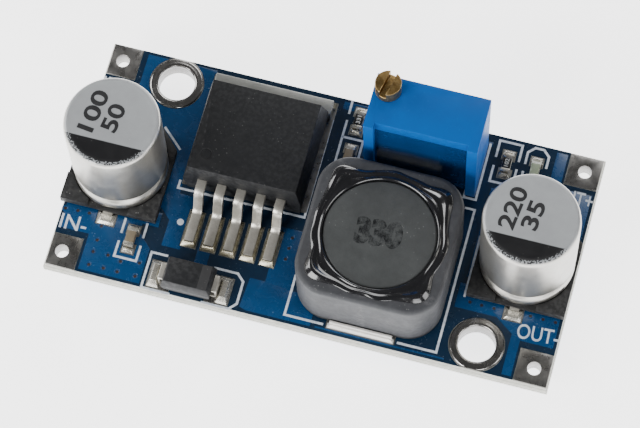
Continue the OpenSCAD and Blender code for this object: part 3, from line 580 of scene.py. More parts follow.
@dataclass(frozen=True)
class PrintedCan(Finish):
    """Aluminium can with a black printed segment on one side of its top."""

    top_z: float = 0.0
    centre: Point = (0.0, 0.0)
    chord: float = 0.0018
    ink: Colour = (0.008, 0.008, 0.009)
    radius: float = 0.004
    # Lid colours: the aluminium's own grey with a painted bluish sheen that stands for the light on the bare
    # top.
    lid_painted_sheen_light: Colour = (0.36, 0.375, 0.385)
    lid_painted_sheen_dark: Colour = (0.28, 0.29, 0.3)

    def colour(self, tree: bpy.types.NodeTree) -> bpy.types.NodeSocket:
        """Builds bare metal walls, a lid whose flat bluish grey is partly the aluminium's own grey and
        partly painted sheen, and the printed segment.

        Args:
            tree: The material's node tree.

        Returns:
            The socket that holds the colour.
        """
        wall = super().colour(tree)
        lid = tree.nodes.new("ShaderNodeGroup")
        lid.node_tree = Effects.drift()
        lid.inputs["Light"].default_value = (*self.lid_painted_sheen_light, 1)
        lid.inputs["Dark"].default_value = (*self.lid_painted_sheen_dark, 1)
        lid.inputs["Scale"].default_value = 240.0
        lid.inputs["Contrast"].default_value = 0.3
        mix = colour_mix(tree)
        tree.links.new(self.lid_mask(tree), mix.inputs["Factor"])
        tree.links.new(wall, mix.inputs["A"])
        tree.links.new(lid.outputs["Color"], mix.inputs["B"])
        inked = colour_mix(tree)
        inked.inputs["B"].default_value = (*self.ink, 1)
        tree.links.new(self.segment_mask(tree), inked.inputs["Factor"])
        tree.links.new(mix.outputs["Result"], inked.inputs["A"])
        return inked.outputs["Result"]

    def parts(self, tree: bpy.types.NodeTree) -> bpy.types.Node:
        """Adds the coordinates from the can's own centre.

        Args:
            tree: The material's node tree.

        Returns:
            A Separate XYZ node.
        """
        place = tree.nodes.new("ShaderNodeTexCoord")
        shift = tree.nodes.new("ShaderNodeMapping")
        shift.inputs["Location"].default_value = (-self.centre[0], -self.centre[1], -self.top_z)
        split = tree.nodes.new("ShaderNodeSeparateXYZ")
        tree.links.new(place.outputs["Object"], shift.inputs["Vector"])
        tree.links.new(shift.outputs["Vector"], split.inputs[0])
        return split

    def lid_mask(self, tree: bpy.types.NodeTree) -> bpy.types.NodeSocket:
        """Builds the mask of the lid inside the rolled rim.

        Args:
            tree: The material's node tree.

        Returns:
            The socket that holds the mask.
        """
        split = self.parts(tree)
        high = tree.nodes.new("ShaderNodeMapRange")
        high.inputs["From Min"].default_value = -0.00016
        high.inputs["From Max"].default_value = -0.00006
        tree.links.new(split.outputs["Z"], high.inputs["Value"])
        return high.outputs["Result"]

    def segment_mask(self, tree: bpy.types.NodeTree) -> bpy.types.NodeSocket:
        """Builds the mask of the printed segment, worn through at the rim.

        Args:
            tree: The material's node tree.

        Returns:
            The socket that holds the mask.
        """
        split = self.parts(tree)
        link = tree.links.new
        side = tree.nodes.new("ShaderNodeMapRange")
        side.inputs["From Min"].default_value = -self.chord + 0.00003
        side.inputs["From Max"].default_value = -self.chord - 0.00003
        link(split.outputs["Y"], side.inputs["Value"])
        high = tree.nodes.new("ShaderNodeMapRange")
        high.inputs["From Min"].default_value = -0.00026
        high.inputs["From Max"].default_value = -0.0002
        link(split.outputs["Z"], high.inputs["Value"])
        both = math_node(tree, "MULTIPLY")
        link(side.outputs["Result"], both.inputs[0])
        link(high.outputs["Result"], both.inputs[1])
        place = tree.nodes.new("ShaderNodeTexCoord")
        noise = tree.nodes.new("ShaderNodeTexNoise")
        noise.inputs["Scale"].default_value = 7000.0
        noise.inputs["Detail"].default_value = 5.0
        link(place.outputs["Object"], noise.inputs["Vector"])
        x2 = math_node(tree, "MULTIPLY")
        y2 = math_node(tree, "MULTIPLY")
        r2 = math_node(tree, "ADD")
        r1 = math_node(tree, "SQRT")
        for axis, node in (("X", x2), ("Y", y2)):
            link(split.outputs[axis], node.inputs[0])
            link(split.outputs[axis], node.inputs[1])
        link(x2.outputs[0], r2.inputs[0])
        link(y2.outputs[0], r2.inputs[1])
        link(r2.outputs[0], r1.inputs[0])
        ring = tree.nodes.new("ShaderNodeMapRange")
        ring.interpolation_type = "SMOOTHSTEP"
        ring.inputs["From Min"].default_value = self.radius - 0.00062
        ring.inputs["From Max"].default_value = self.radius - 0.00036
        ring.inputs["To Max"].default_value = 0.3
        link(r1.outputs[0], ring.inputs["Value"])
        rubbed = math_node(tree, "ADD")
        link(noise.outputs["Fac"], rubbed.inputs[0])
        link(ring.outputs["Result"], rubbed.inputs[1])
        chips = tree.nodes.new("ShaderNodeMapRange")
        chips.inputs["From Min"].default_value = 0.83
        chips.inputs["From Max"].default_value = 0.77
        link(rubbed.outputs[0], chips.inputs["Value"])
        rim = tree.nodes.new("ShaderNodeMapRange")
        rim.inputs["From Min"].default_value = self.radius - 0.00012
        rim.inputs["From Max"].default_value = self.radius - 0.0002
        link(r1.outputs[0], rim.inputs["Value"])
        kept = math_node(tree, "MULTIPLY")
        link(both.outputs[0], kept.inputs[0])
        link(chips.outputs["Result"], kept.inputs[1])
        whole = math_node(tree, "MULTIPLY")
        link(kept.outputs[0], whole.inputs[0])
        link(rim.outputs["Result"], whole.inputs[1])
        return whole.outputs[0]

    def finish_shader(self, tree: bpy.types.NodeTree, shader: bpy.types.Node) -> None:
        """Makes the lid and the ink less metallic than the wall, so the lid shows its painted sheen colour.

        Args:
            tree: The material's node tree.
            shader: The Principled shader.
        """
        span = tree.nodes.new("ShaderNodeMapRange")
        span.inputs["To Min"].default_value = self.metal
        span.inputs["To Max"].default_value = 0.15
        tree.links.new(self.lid_mask(tree), span.inputs["Value"])
        less = math_node(tree, "SUBTRACT")
        less.use_clamp = True
        tree.links.new(span.outputs["Result"], less.inputs[0])
        tree.links.new(self.segment_mask(tree), less.inputs[1])
        tree.links.new(less.outputs[0], shader.inputs["Metallic"])


@dataclass(frozen=True)
class CutLaminate(Finish):
    """Glass and resin board: plies and torn fibres show on the cut edge."""

    ply: Colour = (0.42, 0.41, 0.38)

    def colour(self, tree: bpy.types.NodeTree) -> bpy.types.NodeSocket:
        """Builds the resin colour with plies along Z.

        Args:
            tree: The material's node tree.

        Returns:
            The socket that holds the colour.
        """
        base = super().colour(tree)
        place = tree.nodes.new("ShaderNodeTexCoord")
        wave = tree.nodes.new("ShaderNodeTexWave")
        wave.bands_direction = "Z"
        wave.inputs["Scale"].default_value = 1100.0
        wave.inputs["Distortion"].default_value = 3.5
        wave.inputs["Detail"].default_value = 3.0
        wave.inputs["Detail Scale"].default_value = 4.0
        span = tree.nodes.new("ShaderNodeMapRange")
        span.inputs["From Min"].default_value = 0.45
        span.inputs["From Max"].default_value = 1.0
        span.inputs["To Max"].default_value = 0.55
        mix = colour_mix(tree)
        mix.inputs["B"].default_value = (*self.ply, 1)
        tree.links.new(place.outputs["Object"], wave.inputs["Vector"])
        tree.links.new(wave.outputs["Fac"], span.inputs["Value"])
        tree.links.new(span.outputs["Result"], mix.inputs["Factor"])
        tree.links.new(base, mix.inputs["A"])
        return mix.outputs["Result"]


@dataclass(frozen=True)
class ClearResin(Finish):
    """Clear casting resin over a lit-up chip."""

    def finish_shader(self, tree: bpy.types.NodeTree, shader: bpy.types.Node) -> None:
        """Lets light through the resin.

        Args:
            tree: The material's node tree.
            shader: The Principled shader.
        """
        shader.inputs["Transmission Weight"].default_value = 0.45
        shader.inputs["Metallic"].default_value = 0.0


MASK_OPEN = Finish(
    "mask_over_laminate", srgb(14, 40, 62), srgb(8, 29, 50), smooth=0.16, rough=0.3,
    drift_scale=260.0, contrast=0.3, grain_scale=2600.0, grain_strength=0.12, grain_depth=0.00003,
    dust=0.5, dust_colour=srgb(150, 165, 185), coat=0.2, coat_rough=0.12,
)
MASK_POUR = Finish(
    "mask_over_copper", srgb(3, 64, 110), srgb(1, 50, 90), smooth=0.18, rough=0.34,
    drift_scale=300.0, contrast=0.35, grain_scale=2200.0, grain_strength=0.2, grain_depth=0.00003,
    dust=0.5, dust_colour=srgb(150, 175, 200), coat=0.2, coat_rough=0.14,
)
INK = Finish(
    "white_board_ink", srgb(226, 230, 234), srgb(190, 198, 208), smooth=0.5, rough=0.7,
    drift_scale=2400.0, contrast=0.4, grain_scale=12000.0, grain_strength=0.4, wear=0.4,
    worn=srgb(120, 140, 170),
)
LAMINATE = CutLaminate(
    "cut_glass_laminate", srgb(206, 205, 198), srgb(150, 150, 140), smooth=0.6, rough=0.85,
    drift_scale=1800.0, contrast=0.3, grain_scale=5200.0, grain_strength=0.9, grain_depth=0.00006,
    stretch=(1.0, 1.0, 0.6), ply=srgb(128, 130, 118),
)
TIN = Finish(
    "levelled_tin", srgb(176, 174, 171), srgb(108, 106, 104), metal=0.95, smooth=0.22, rough=0.42,
    drift_scale=700.0, contrast=0.3, grain_scale=1500.0, grain_strength=0.3, grain_depth=0.00005,
    dust=0.5, dust_colour=srgb(214, 212, 206),
)
LEAD = Finish(
    "plated_lead", srgb(214, 211, 203), srgb(160, 155, 143), metal=0.75, smooth=0.28, rough=0.42,
    drift_scale=1200.0, contrast=0.3, grain_scale=6000.0, grain_strength=0.25, grain_depth=0.00002,
    stretch=(1.0, 0.25, 0.25),
)
BRIGHT = Finish(
    "fresh_tin", srgb(246, 244, 240), srgb(214, 211, 205), metal=0.4, smooth=0.24, rough=0.4,
    drift_scale=900.0, contrast=0.3, grain_scale=2600.0, grain_strength=0.3, grain_depth=0.00004,
)
RIM = Finish(
    "domed_tin", srgb(186, 184, 181), srgb(122, 120, 118), metal=1.0, smooth=0.16, rough=0.3,
    drift_scale=900.0, contrast=0.3, grain_scale=1500.0, grain_strength=0.25, grain_depth=0.00004,
)
TAB = Finish(
    "heat_tab_plate", srgb(168, 169, 164), srgb(138, 138, 134), metal=0.6, smooth=0.34, rough=0.5,
    drift_scale=900.0, contrast=0.35, grain_scale=5200.0, grain_strength=0.2,
)
SOLDER = Finish(
    "set_solder", srgb(228, 225, 216), srgb(148, 144, 132), metal=0.75, smooth=0.14, rough=0.34,
    drift_scale=1300.0, contrast=0.25, grain_scale=2400.0, grain_strength=0.35, grain_depth=0.00005,
)
FLUX = Finish(
    "flux_edge", srgb(206, 198, 170), srgb(84, 78, 60), metal=0.6, smooth=0.16, rough=0.36,
    drift_scale=1500.0, contrast=0.25, grain_scale=2600.0, grain_strength=0.3, grain_depth=0.00004,
    coat=0.6, coat_rough=0.1,
)
EPOXY = Finish(
    "moulded_epoxy", srgb(25, 26, 28), srgb(20, 21, 23), specular=0.28, smooth=0.46, rough=0.62,
    drift_scale=520.0, contrast=0.4, grain_scale=9000.0, grain_strength=0.25, grain_depth=0.00003,
    wear=0.15, worn=srgb(108, 108, 110), dust=0.15,
)
BASE = Finish(
    "base_plastic", srgb(34, 34, 35), srgb(28, 28, 29), specular=0.3, smooth=0.5, rough=0.68,
    drift_scale=700.0, contrast=0.4, grain_scale=8000.0, grain_strength=0.3, grain_depth=0.00003,
    wear=0.2, worn=srgb(120, 120, 118), dust=0.5,
)
FERRITE = Finish(
    "pressed_ferrite", srgb(66, 67, 70), srgb(46, 47, 50), specular=0.25, smooth=0.44, rough=0.62,
    drift_scale=1500.0, contrast=0.35, grain_scale=6500.0, grain_strength=0.5, grain_depth=0.00004,
    wear=0.1, worn=srgb(150, 150, 152), dust=0.3,
)
CORE = Finish(
    "ground_ferrite", srgb(68, 70, 70), srgb(54, 56, 56), specular=0.3, smooth=0.36, rough=0.56,
    drift_scale=420.0, contrast=0.25, grain_scale=7000.0, grain_strength=0.4, grain_depth=0.00004,
    wear=0.1, worn=srgb(140, 140, 140), dust=0.25,
)
GLUE = Finish(
    "black_glue_gloss", srgb(26, 26, 29), srgb(14, 14, 16), smooth=0.12, rough=0.24,
    drift_scale=600.0, contrast=0.4, grain_scale=900.0, grain_strength=0.18, grain_depth=0.00006,
    coat=0.8, coat_rough=0.06, dust=0.3,
)
BLUE = Finish(
    "blue_moulding", srgb(2, 84, 160), srgb(1, 76, 148), specular=0.15, smooth=0.34, rough=0.52,
    drift_scale=500.0, contrast=0.3, grain_scale=7000.0, grain_strength=0.12, grain_depth=0.00002,
    wear=0.0, worn=srgb(90, 160, 220), dust=0.1, dust_colour=srgb(150, 195, 230),
)
# Potting: the housing's blue, painted darker as shade on the trimmer's front face; its gloss is its own.
POTTING = Finish(
    "blue_potting_gloss_painted_shade", srgb(4, 60, 112), srgb(2, 46, 90), smooth=0.12, rough=0.3,
    drift_scale=420.0, contrast=0.3, grain_scale=1100.0, grain_strength=0.2, grain_depth=0.00006,
    coat=0.6, coat_rough=0.1,
)
BRASS = Finish(
    "aged_brass", srgb(190, 158, 102), srgb(112, 88, 52), metal=1.0, smooth=0.26, rough=0.46,
    drift_scale=1500.0, contrast=0.22, grain_scale=5200.0, grain_strength=0.35, grain_depth=0.00003,
    wear=0.8, worn=srgb(226, 204, 156),
)
COAT = Finish(
    "resistor_glaze", srgb(34, 34, 34), srgb(20, 20, 20), smooth=0.2, rough=0.36,
    drift_scale=1400.0, grain_scale=9000.0, grain_strength=0.3,
)
CERAMIC = Finish(
    "brown_ceramic_body", srgb(124, 112, 92), srgb(98, 88, 72), smooth=0.34, rough=0.5,
    drift_scale=2200.0, contrast=0.3, grain_scale=9000.0, grain_strength=0.3,
)
WHITE = Finish(
    "white_ceramic_body", srgb(226, 226, 220), srgb(202, 202, 194), smooth=0.4, rough=0.6,
    drift_scale=2200.0, contrast=0.3, grain_scale=9000.0, grain_strength=0.3,
)
LENS = ClearResin(
    "lamp_lens_resin", srgb(206, 216, 190), srgb(168, 182, 150), smooth=0.1, rough=0.24,
    drift_scale=1400.0, contrast=0.35, grain_scale=3000.0, grain_strength=0.15, coat=0.5,
)
COPPER = Finish(
    "enamelled_wire", srgb(170, 92, 48), srgb(110, 54, 26), metal=0.8, smooth=0.2, rough=0.34,
    drift_scale=2400.0, contrast=0.3, grain_scale=5200.0, grain_strength=0.5, stretch=(0.2, 0.2, 3.0),
)
STEEL = Finish(
    "spring_steel_strip", srgb(176, 176, 178), srgb(130, 130, 134), metal=1.0, smooth=0.3, rough=0.44,
)
RUBBER = Finish("seal_ring_rubber", srgb(26, 26, 26), srgb(16, 16, 16), smooth=0.6, rough=0.8)
GILT = Finish(
    "gilt_foot", srgb(212, 186, 116), srgb(168, 142, 84), metal=0.9, smooth=0.26, rough=0.4,
    drift_scale=2000.0,
)
CARRIER = Finish("wiper_carrier", srgb(232, 232, 226), srgb(210, 210, 204), smooth=0.42, rough=0.56)
LID_INK = Finish(
    "black_lid_ink", srgb(34, 34, 36), srgb(20, 20, 22), smooth=0.4, rough=0.6,
    drift_scale=3200.0, contrast=0.4, grain_scale=12000.0, grain_strength=0.3,
)
CHIP_INK = Finish(
    "pale_chip_ink", srgb(206, 206, 200), srgb(160, 160, 154), smooth=0.5, rough=0.7,
    drift_scale=5200.0, contrast=0.4,
)
VIA_DARK = Finish("via_well", srgb(58, 40, 34), srgb(24, 20, 22), smooth=0.3, rough=0.5)
SMUDGE_INK = Finish(
    "faded_ink", srgb(66, 68, 68), srgb(16, 17, 19), specular=0.15, smooth=0.4, rough=0.6,
    drift_scale=1500.0,
    contrast=0.1,
)
CAN = PrintedCan(
    "drawn_aluminium", srgb(204, 202, 197), srgb(176, 174, 168), metal=0.95, smooth=0.28, rough=0.38,
    drift_scale=500.0, contrast=0.35, grain_scale=3600.0, grain_strength=0.05, grain_depth=0.00002,
    stretch=(1.0, 1.0, 0.06), dust=0.25, dust_colour=srgb(200, 200, 198),
)


# --------------------------------------------------------------------------
# Bench: the modelling moves that every class uses
# --------------------------------------------------------------------------


class Bench:
    """Modelling moves on one object at a time, with Blender's own operators."""

    @staticmethod
    def clear() -> None:
        """Leaves edit mode and deselects everything."""
        if bpy.context.object is not None and bpy.context.object.mode != "OBJECT":
            bpy.ops.object.mode_set(mode="OBJECT")
        bpy.ops.object.select_all(action="DESELECT")

    @staticmethod
    def pick(obj: bpy.types.Object) -> None:
        """Makes one object the only selected and the active one.

        Args:
            obj: The object.
        """
        Bench.clear()
        obj.select_set(True)
        bpy.context.view_layer.objects.active = obj

    @staticmethod
    @contextlib.contextmanager
    def edit(obj: bpy.types.Object) -> Iterator[bmesh.types.BMesh]:
        """Holds an object in edit mode.

        Args:
            obj: The object to edit.

        Yields:
            Its edit mesh, for selecting by place or normal.
        """
        Bench.pick(obj)
        bpy.ops.object.mode_set(mode="EDIT")
        bpy.ops.mesh.select_mode(type="FACE")
        bpy.ops.mesh.select_all(action="DESELECT")
        yield bmesh.from_edit_mesh(obj.data)
        bpy.ops.object.mode_set(mode="OBJECT")
        bpy.ops.object.select_all(action="DESELECT")

    @staticmethod
    def select_faces(obj: bpy.types.Object, test: Callable[[bmesh.types.BMFace], bool]) -> int:
        """Selects faces in edit mode.

        Args:
            obj: The object in edit mode.
            test: Says of each face whether it is wanted.

        Returns:
            How many faces were selected.
        """
        mesh = bmesh.from_edit_mesh(obj.data)
        count = 0
        for face in mesh.faces:
            wanted = bool(test(face))
            face.select_set(wanted)
            count += wanted
        mesh.select_flush(True)
        bmesh.update_edit_mesh(obj.data)
        return count

    @staticmethod
    def apply(obj: bpy.types.Object) -> None:
        """Applies every modifier in its order.

        Args:
            obj: The object.
        """
        Bench.pick(obj)
        for modifier in list(obj.modifiers):
            bpy.ops.object.modifier_apply(modifier=modifier.name)
        Bench.clear()

    @staticmethod
    def settle(obj: bpy.types.Object) -> None:
        """Puts the object's place, turn and size into its mesh.

        Args:
            obj: The object.
        """
        Bench.pick(obj)
        bpy.ops.object.transform_apply(location=True, rotation=True, scale=True)
        Bench.clear()

    @staticmethod
    def outward(obj: bpy.types.Object, merge: float = 1e-7) -> None:
        """Merges doubles and turns every face outwards.

        Args:
            obj: The object.
            merge: Distance within which points become one, in metres.
        """
        with Bench.edit(obj):
            bpy.ops.mesh.select_all(action="SELECT")
            bpy.ops.mesh.remove_doubles(threshold=merge)
            bpy.ops.mesh.normals_make_consistent(inside=False)

    @staticmethod
    def bevel(
        obj: bpy.types.Object, width: float, segments: int = 2, angle: float = 30.0,
        profile: float = 0.5
    ) -> None:
        """Rounds every edge sharper than an angle.

        Args:
            obj: The object.
            width: Width of the rounding in millimetres.
            segments: Steps in the rounding.
            angle: Least angle between two faces in degrees.
            profile: Shape of the rounding, from hollow to full.
        """
        modifier = obj.modifiers.new("rounding", "BEVEL")
        modifier.width = width * MM
        modifier.segments = segments
        modifier.limit_method = "ANGLE"
        modifier.angle_limit = math.radians(angle)
        modifier.profile = profile
        modifier.use_clamp_overlap = True
        modifier.harden_normals = False
        modifier.miter_outer = "MITER_ARC"
        Bench.apply(obj)

    @staticmethod
    def smooth(obj: bpy.types.Object, angle: float = 35.0) -> None:
        """Shades a piece smooth, except across sharp edges.

        Args:
            obj: The object.
            angle: Greatest angle that is shaded smooth, in degrees.
        """
        Bench.pick(obj)
        bpy.ops.object.shade_smooth_by_angle(angle=math.radians(angle))
        Bench.clear()

    @staticmethod
    def block(name: str, low: Sequence[float], high: Sequence[float]) -> bpy.types.Object:
        """Adds a box as the start of a piece.

        Args:
            name: Name of the piece.
            low: Lowest corner in millimetres.
            high: Highest corner in millimetres.

        Returns:
            The box, with its place in its mesh.
        """
        Bench.clear()
        middle = [(a + b) / 2 * MM for a, b in zip(low, high)]
        bpy.ops.mesh.primitive_cube_add(size=1.0, location=middle)
        obj = bpy.context.object
        obj.name = name
        obj.scale = [(b - a) * MM for a, b in zip(low, high)]
        Bench.settle(obj)
        return obj

    @staticmethod
    def disc(name: str, at: Sequence[float], radius: float, height: float, sides: int) -> bpy.types.Object:
        """Adds a low round block as the start of a piece.

        Args:
            name: Name of the piece.
            at: Centre of its foot in millimetres.
            radius: Radius in millimetres.
            height: Height in millimetres.
            sides: Number of sides.

        Returns:
            The block, with its place in its mesh.
        """
        Bench.clear()
        bpy.ops.mesh.primitive_cylinder_add(
            vertices=sides, radius=radius * MM, depth=height * MM,
            location=(at[0] * MM, at[1] * MM, (at[2] + height / 2) * MM),
        )
        obj = bpy.context.object
        obj.name = name
        Bench.settle(obj)
        return obj

    @staticmethod
    def ribbon(
        name: str, path: Sequence[Point], width: float, floor: float, height: float
    ) -> bpy.types.Object:
        """Lays a flat strip along a path, mitred at its corners.

        Args:
            name: Name of the piece.
            path: Points on its centre line in millimetres.
            width: Width in millimetres.
            floor: Height of its underside in millimetres.
            height: Thickness in millimetres.

        Returns:
            A closed strip.
        """
        line = [Vector(p) for p in path]
        sides: list[tuple[Vector, Vector]] = []
        for i, here in enumerate(line):
            before = (here - line[i - 1]).normalized() if i else None
            after = (line[i + 1] - here).normalized() if i + 1 < len(line) else None
            first = before if before is not None else after
            second = after if after is not None else before
            along = (first + second).normalized()
            across = Vector((-along.y, along.x)) * (width / 2 / max(0.35, along.dot(first)))
            sides.append((here + across, here - across))
        Bench.clear()
        bpy.ops.mesh.primitive_plane_add(size=1.0)
        obj = bpy.context.object
        obj.name = name
        with Bench.edit(obj) as mesh:
            bpy.ops.mesh.select_mode(type="EDGE")
            corners = sorted(mesh.verts, key=lambda v: (v.co.x, v.co.y))
            for vert, spot in zip(corners, (sides[0][1], sides[0][0], sides[1][1], sides[1][0])):
                vert.co = (spot.x * MM, spot.y * MM, floor * MM)
            end = [corners[2], corners[3]]
            for left, right in sides[2:]:
                bpy.ops.mesh.select_all(action="DESELECT")
                for vert in end:
                    vert.select = True
                mesh.select_flush(True)
                bpy.ops.mesh.extrude_region_move()
                mesh = bmesh.from_edit_mesh(obj.data)
                moved = [v for v in mesh.verts if v.select]
                a, b = moved
                was_left = Vector(sides[sides.index((left, right)) - 1][0])
                if (a.co.xy / MM - was_left).length < (b.co.xy / MM - was_left).length:
                    a, b = b, a
                a.co = (right.x * MM, right.y * MM, floor * MM)
                b.co = (left.x * MM, left.y * MM, floor * MM)
                end = [a, b]
            bpy.ops.mesh.select_mode(type="FACE")
            bpy.ops.mesh.select_all(action="SELECT")
            bpy.ops.mesh.extrude_region_move(
                TRANSFORM_OT_translate={"value": (0, 0, height * MM), "orient_type": "GLOBAL"}
            )
            bpy.ops.mesh.select_all(action="SELECT")
            bpy.ops.mesh.normals_make_consistent(inside=False)
        return obj

    @staticmethod
    def sheet(name: str, outline: Sequence[Point], floor: float, height: float) -> bpy.types.Object:
        """Cuts a flat sheet to an outline and gives it a thickness.

        Args:
            name: Name of the piece.
            outline: Its corners in millimetres, in order.
            floor: Height of its underside in millimetres.
            height: Thickness in millimetres.

        Returns:
            A closed sheet.
        """
        Bench.clear()
        bpy.ops.mesh.primitive_circle_add(vertices=len(outline), radius=1.0, fill_type="NGON")
        obj = bpy.context.object
        obj.name = name
        with Bench.edit(obj) as mesh:
            for vert, spot in zip(mesh.verts, outline):
                vert.co = (spot[0] * MM, spot[1] * MM, floor * MM)
            bpy.ops.mesh.select_all(action="SELECT")
            bpy.ops.mesh.extrude_region_move(
                TRANSFORM_OT_translate={"value": (0, 0, height * MM), "orient_type": "GLOBAL"}
            )
            bpy.ops.mesh.select_all(action="SELECT")
            bpy.ops.mesh.normals_make_consistent(inside=False)
        return obj

    @staticmethod
    def lathe(
        name: str, profile: Sequence[Point], at: Point, steps: int = 96
    ) -> bpy.types.Object:
        """Spins a profile round the vertical axis.

        Args:
            name: Name of the piece.
            profile: Radius and height of each point in millimetres, from pole to pole.
            at: Centre in millimetres.
            steps: Steps in the full turn.

        Returns:
            A closed turned piece.
        """
        Bench.clear()
        bpy.ops.mesh.primitive_circle_add(
            vertices=max(3, len(profile)), radius=1.0, fill_type="NOTHING"
        )
        obj = bpy.context.object
        obj.name = name
        with Bench.edit(obj) as mesh:
            bpy.ops.mesh.select_mode(type="VERT")
            mesh.verts.ensure_lookup_table()
            ring = list(mesh.verts)
            for vert, (radius, z) in zip(ring, profile):
                vert.co = ((at[0] + radius) * MM, at[1] * MM, z * MM)
            last, first = ring[len(profile) - 1], ring[0]
            for edge in list(mesh.edges):
                if set(edge.verts) == {last, first}:
                    mesh.edges.remove(edge)
            bmesh.update_edit_mesh(obj.data)
            bpy.ops.mesh.select_all(action="SELECT")
            bpy.ops.mesh.spin(
                steps=steps, angle=math.tau, center=(at[0] * MM, at[1] * MM, 0), axis=(0, 0, 1)
            )
            bpy.ops.mesh.select_all(action="SELECT")
            bpy.ops.mesh.remove_doubles(threshold=2e-7)
            bpy.ops.mesh.normals_make_consistent(inside=False)
        return obj

    @staticmethod
    def wrap(
        name: str, around: int, along: int, place: Callable[[float, int], tuple[float, float, float]],
        closed: bool = True,
    ) -> bpy.types.Object:
        """Bends a flat grid round into a ring.

        Args:
            name: Name of the piece.
            around: Steps in the full turn.
            along: Steps from the first row to the last.
            place: Gives X, Y and Z in millimetres for an angle and a row.
            closed: Joins the last row to the first.

        Returns:
            A ring.
        """
        Bench.clear()
        bpy.ops.mesh.primitive_grid_add(x_subdivisions=around, y_subdivisions=along, size=1.0)
        obj = bpy.context.object
        obj.name = name
        with Bench.edit(obj) as mesh:
            for vert in mesh.verts:
                row = round((vert.co.y + 0.5) * along)
                angle = (vert.co.x + 0.5) * math.tau
                vert.co = Vector(place(angle, row % along if closed else row)) * MM
            bpy.ops.mesh.select_all(action="SELECT")
            bpy.ops.mesh.remove_doubles(threshold=1e-6)
            bpy.ops.mesh.normals_make_consistent(inside=False)
        return obj

    @staticmethod
    def lettering(
        name: str, text: str, at: Sequence[float], size: Point, turn: float, height: float,
        weight: float = 0.0,
    ) -> bpy.types.Object:
        """Sets plain characters as a thin raised print.

        Args:
            name: Name of the piece.
            text: The characters.
            at: Middle of the print in millimetres, and its underside.
            size: Width and height of the whole print in millimetres.
            turn: Turn about the vertical axis in degrees.
            height: Thickness in millimetres.
            weight: How much bolder each stroke is, as a share of the letter size.

        Returns:
            A closed print.
        """
        Bench.clear()
        bpy.ops.object.text_add()
        obj = bpy.context.object
        obj.name = name
        words = obj.data
        words.body = text
        words.offset = weight
        words.extrude = 0.5
        words.resolution_u = 4
        bpy.ops.object.convert(target="MESH")
        obj = bpy.context.object
        lows = [min(v.co[i] for v in obj.data.vertices) for i in range(3)]
        highs = [max(v.co[i] for v in obj.data.vertices) for i in range(3)]
        middle = Vector([(a + b) / 2 for a, b in zip(lows, highs)])
        scales = [size[0] / (highs[0] - lows[0]) * MM, size[1] / (highs[1] - lows[1]) * MM, height * MM]
        obj.data.transform(Matrix.Translation(-middle))
        obj.data.transform(Matrix.Diagonal((*scales, 1)))
        obj.data.transform(Matrix.Rotation(math.radians(turn), 4, "Z"))
        obj.data.transform(Matrix.Translation(Vector((at[0], at[1], at[2] + height / 2)) * MM))
        Bench.outward(obj, 1e-6)
        return obj

    @staticmethod
    def copy_of(node: str, name: str) -> bpy.types.Object:
        """Copies a frame node's mesh into a clean new piece.

        Args:
            node: Name of the frame node.
            name: Name of the new piece.

        Returns:
            The copy, merged and with its flat faces whole.
        """
        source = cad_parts[node]
        mesh = source.data.copy()
        mesh.materials.clear()
        obj = bpy.data.objects.new(name, mesh)
        bpy.context.scene.collection.objects.link(obj)
        with Bench.edit(obj):
            bpy.ops.mesh.select_all(action="SELECT")
            bpy.ops.mesh.remove_doubles(threshold=2e-7)
            bpy.ops.mesh.dissolve_limited(angle_limit=math.radians(0.6))
        if obj.data.has_custom_normals:
            Bench.pick(obj)
            bpy.ops.mesh.customdata_custom_splitnormals_clear()
        return obj

    @staticmethod
    def double(obj: bpy.types.Object, name: str, shift: Sequence[float]) -> bpy.types.Object:
        """Copies a piece with its own mesh.

        Args:
            obj: The piece.
            name: Name of the copy.
            shift: How far the copy stands from it, in millimetres.

        Returns:
            The copy.
        """
        twin = obj.copy()
        twin.data = obj.data.copy()
        twin.name = name
        bpy.context.scene.collection.objects.link(twin)
        twin.data.transform(Matrix.Translation(Vector(shift) * MM))
        return twin

    @staticmethod
    def join(pieces: Sequence[bpy.types.Object], name: str) -> bpy.types.Object:
        """Joins pieces into one.

        Args:
            pieces: The pieces; the first stays.
            name: Name of the joined piece.

        Returns:
            The joined piece.
        """
        Bench.clear()
        for piece in pieces:
            piece.select_set(True)
        bpy.context.view_layer.objects.active = pieces[0]
        if len(pieces) > 1:
            bpy.ops.object.join()
        Bench.clear()
        pieces[0].name = name
        return pieces[0]


def dress(
    obj: bpy.types.Object, finish: Finish, body: Body = Body.MODULE,
    stands_for: Sequence[str] = (),
) -> bpy.types.Object:
    """Gives a new piece its finish and body.

    Args:
        obj: The piece.
        finish: Its finish.
        body: The body that carries it.
        stands_for: Frame nodes that it stands for.

    Returns:
        The piece.
    """
    obj.data.materials.clear()
    obj.data.materials.append(finish.material())
    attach(obj, body.value)
    if stands_for:
        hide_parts(*stands_for)
    LOG.info("%s: %d faces, %s", obj.name, len(obj.data.polygons), finish.name)
    return obj


def paint(node: str, finish: Finish) -> None:
    """Gives a frame node that stays shown its finish.

    Args:
        node: Name of the node.
        finish: Its finish.
    """
    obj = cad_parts[node]
    material = finish.material()
    if not obj.material_slots:
        obj.data.materials.append(material)
    for slot in obj.material_slots:
        slot.material = material
    LOG.info("%s keeps its shape, %s", node, finish.name)


def span(node: str) -> tuple[Vector, Vector]:
    """Gives a node's lowest and highest corner in millimetres."""
    low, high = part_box(node)
    return low / MM, high / MM


@dataclass(frozen=True)
class Rounding:
    """How the edges of a copied frame node are rounded."""

    width: float
    steps: int
    angle: float
    shade: float


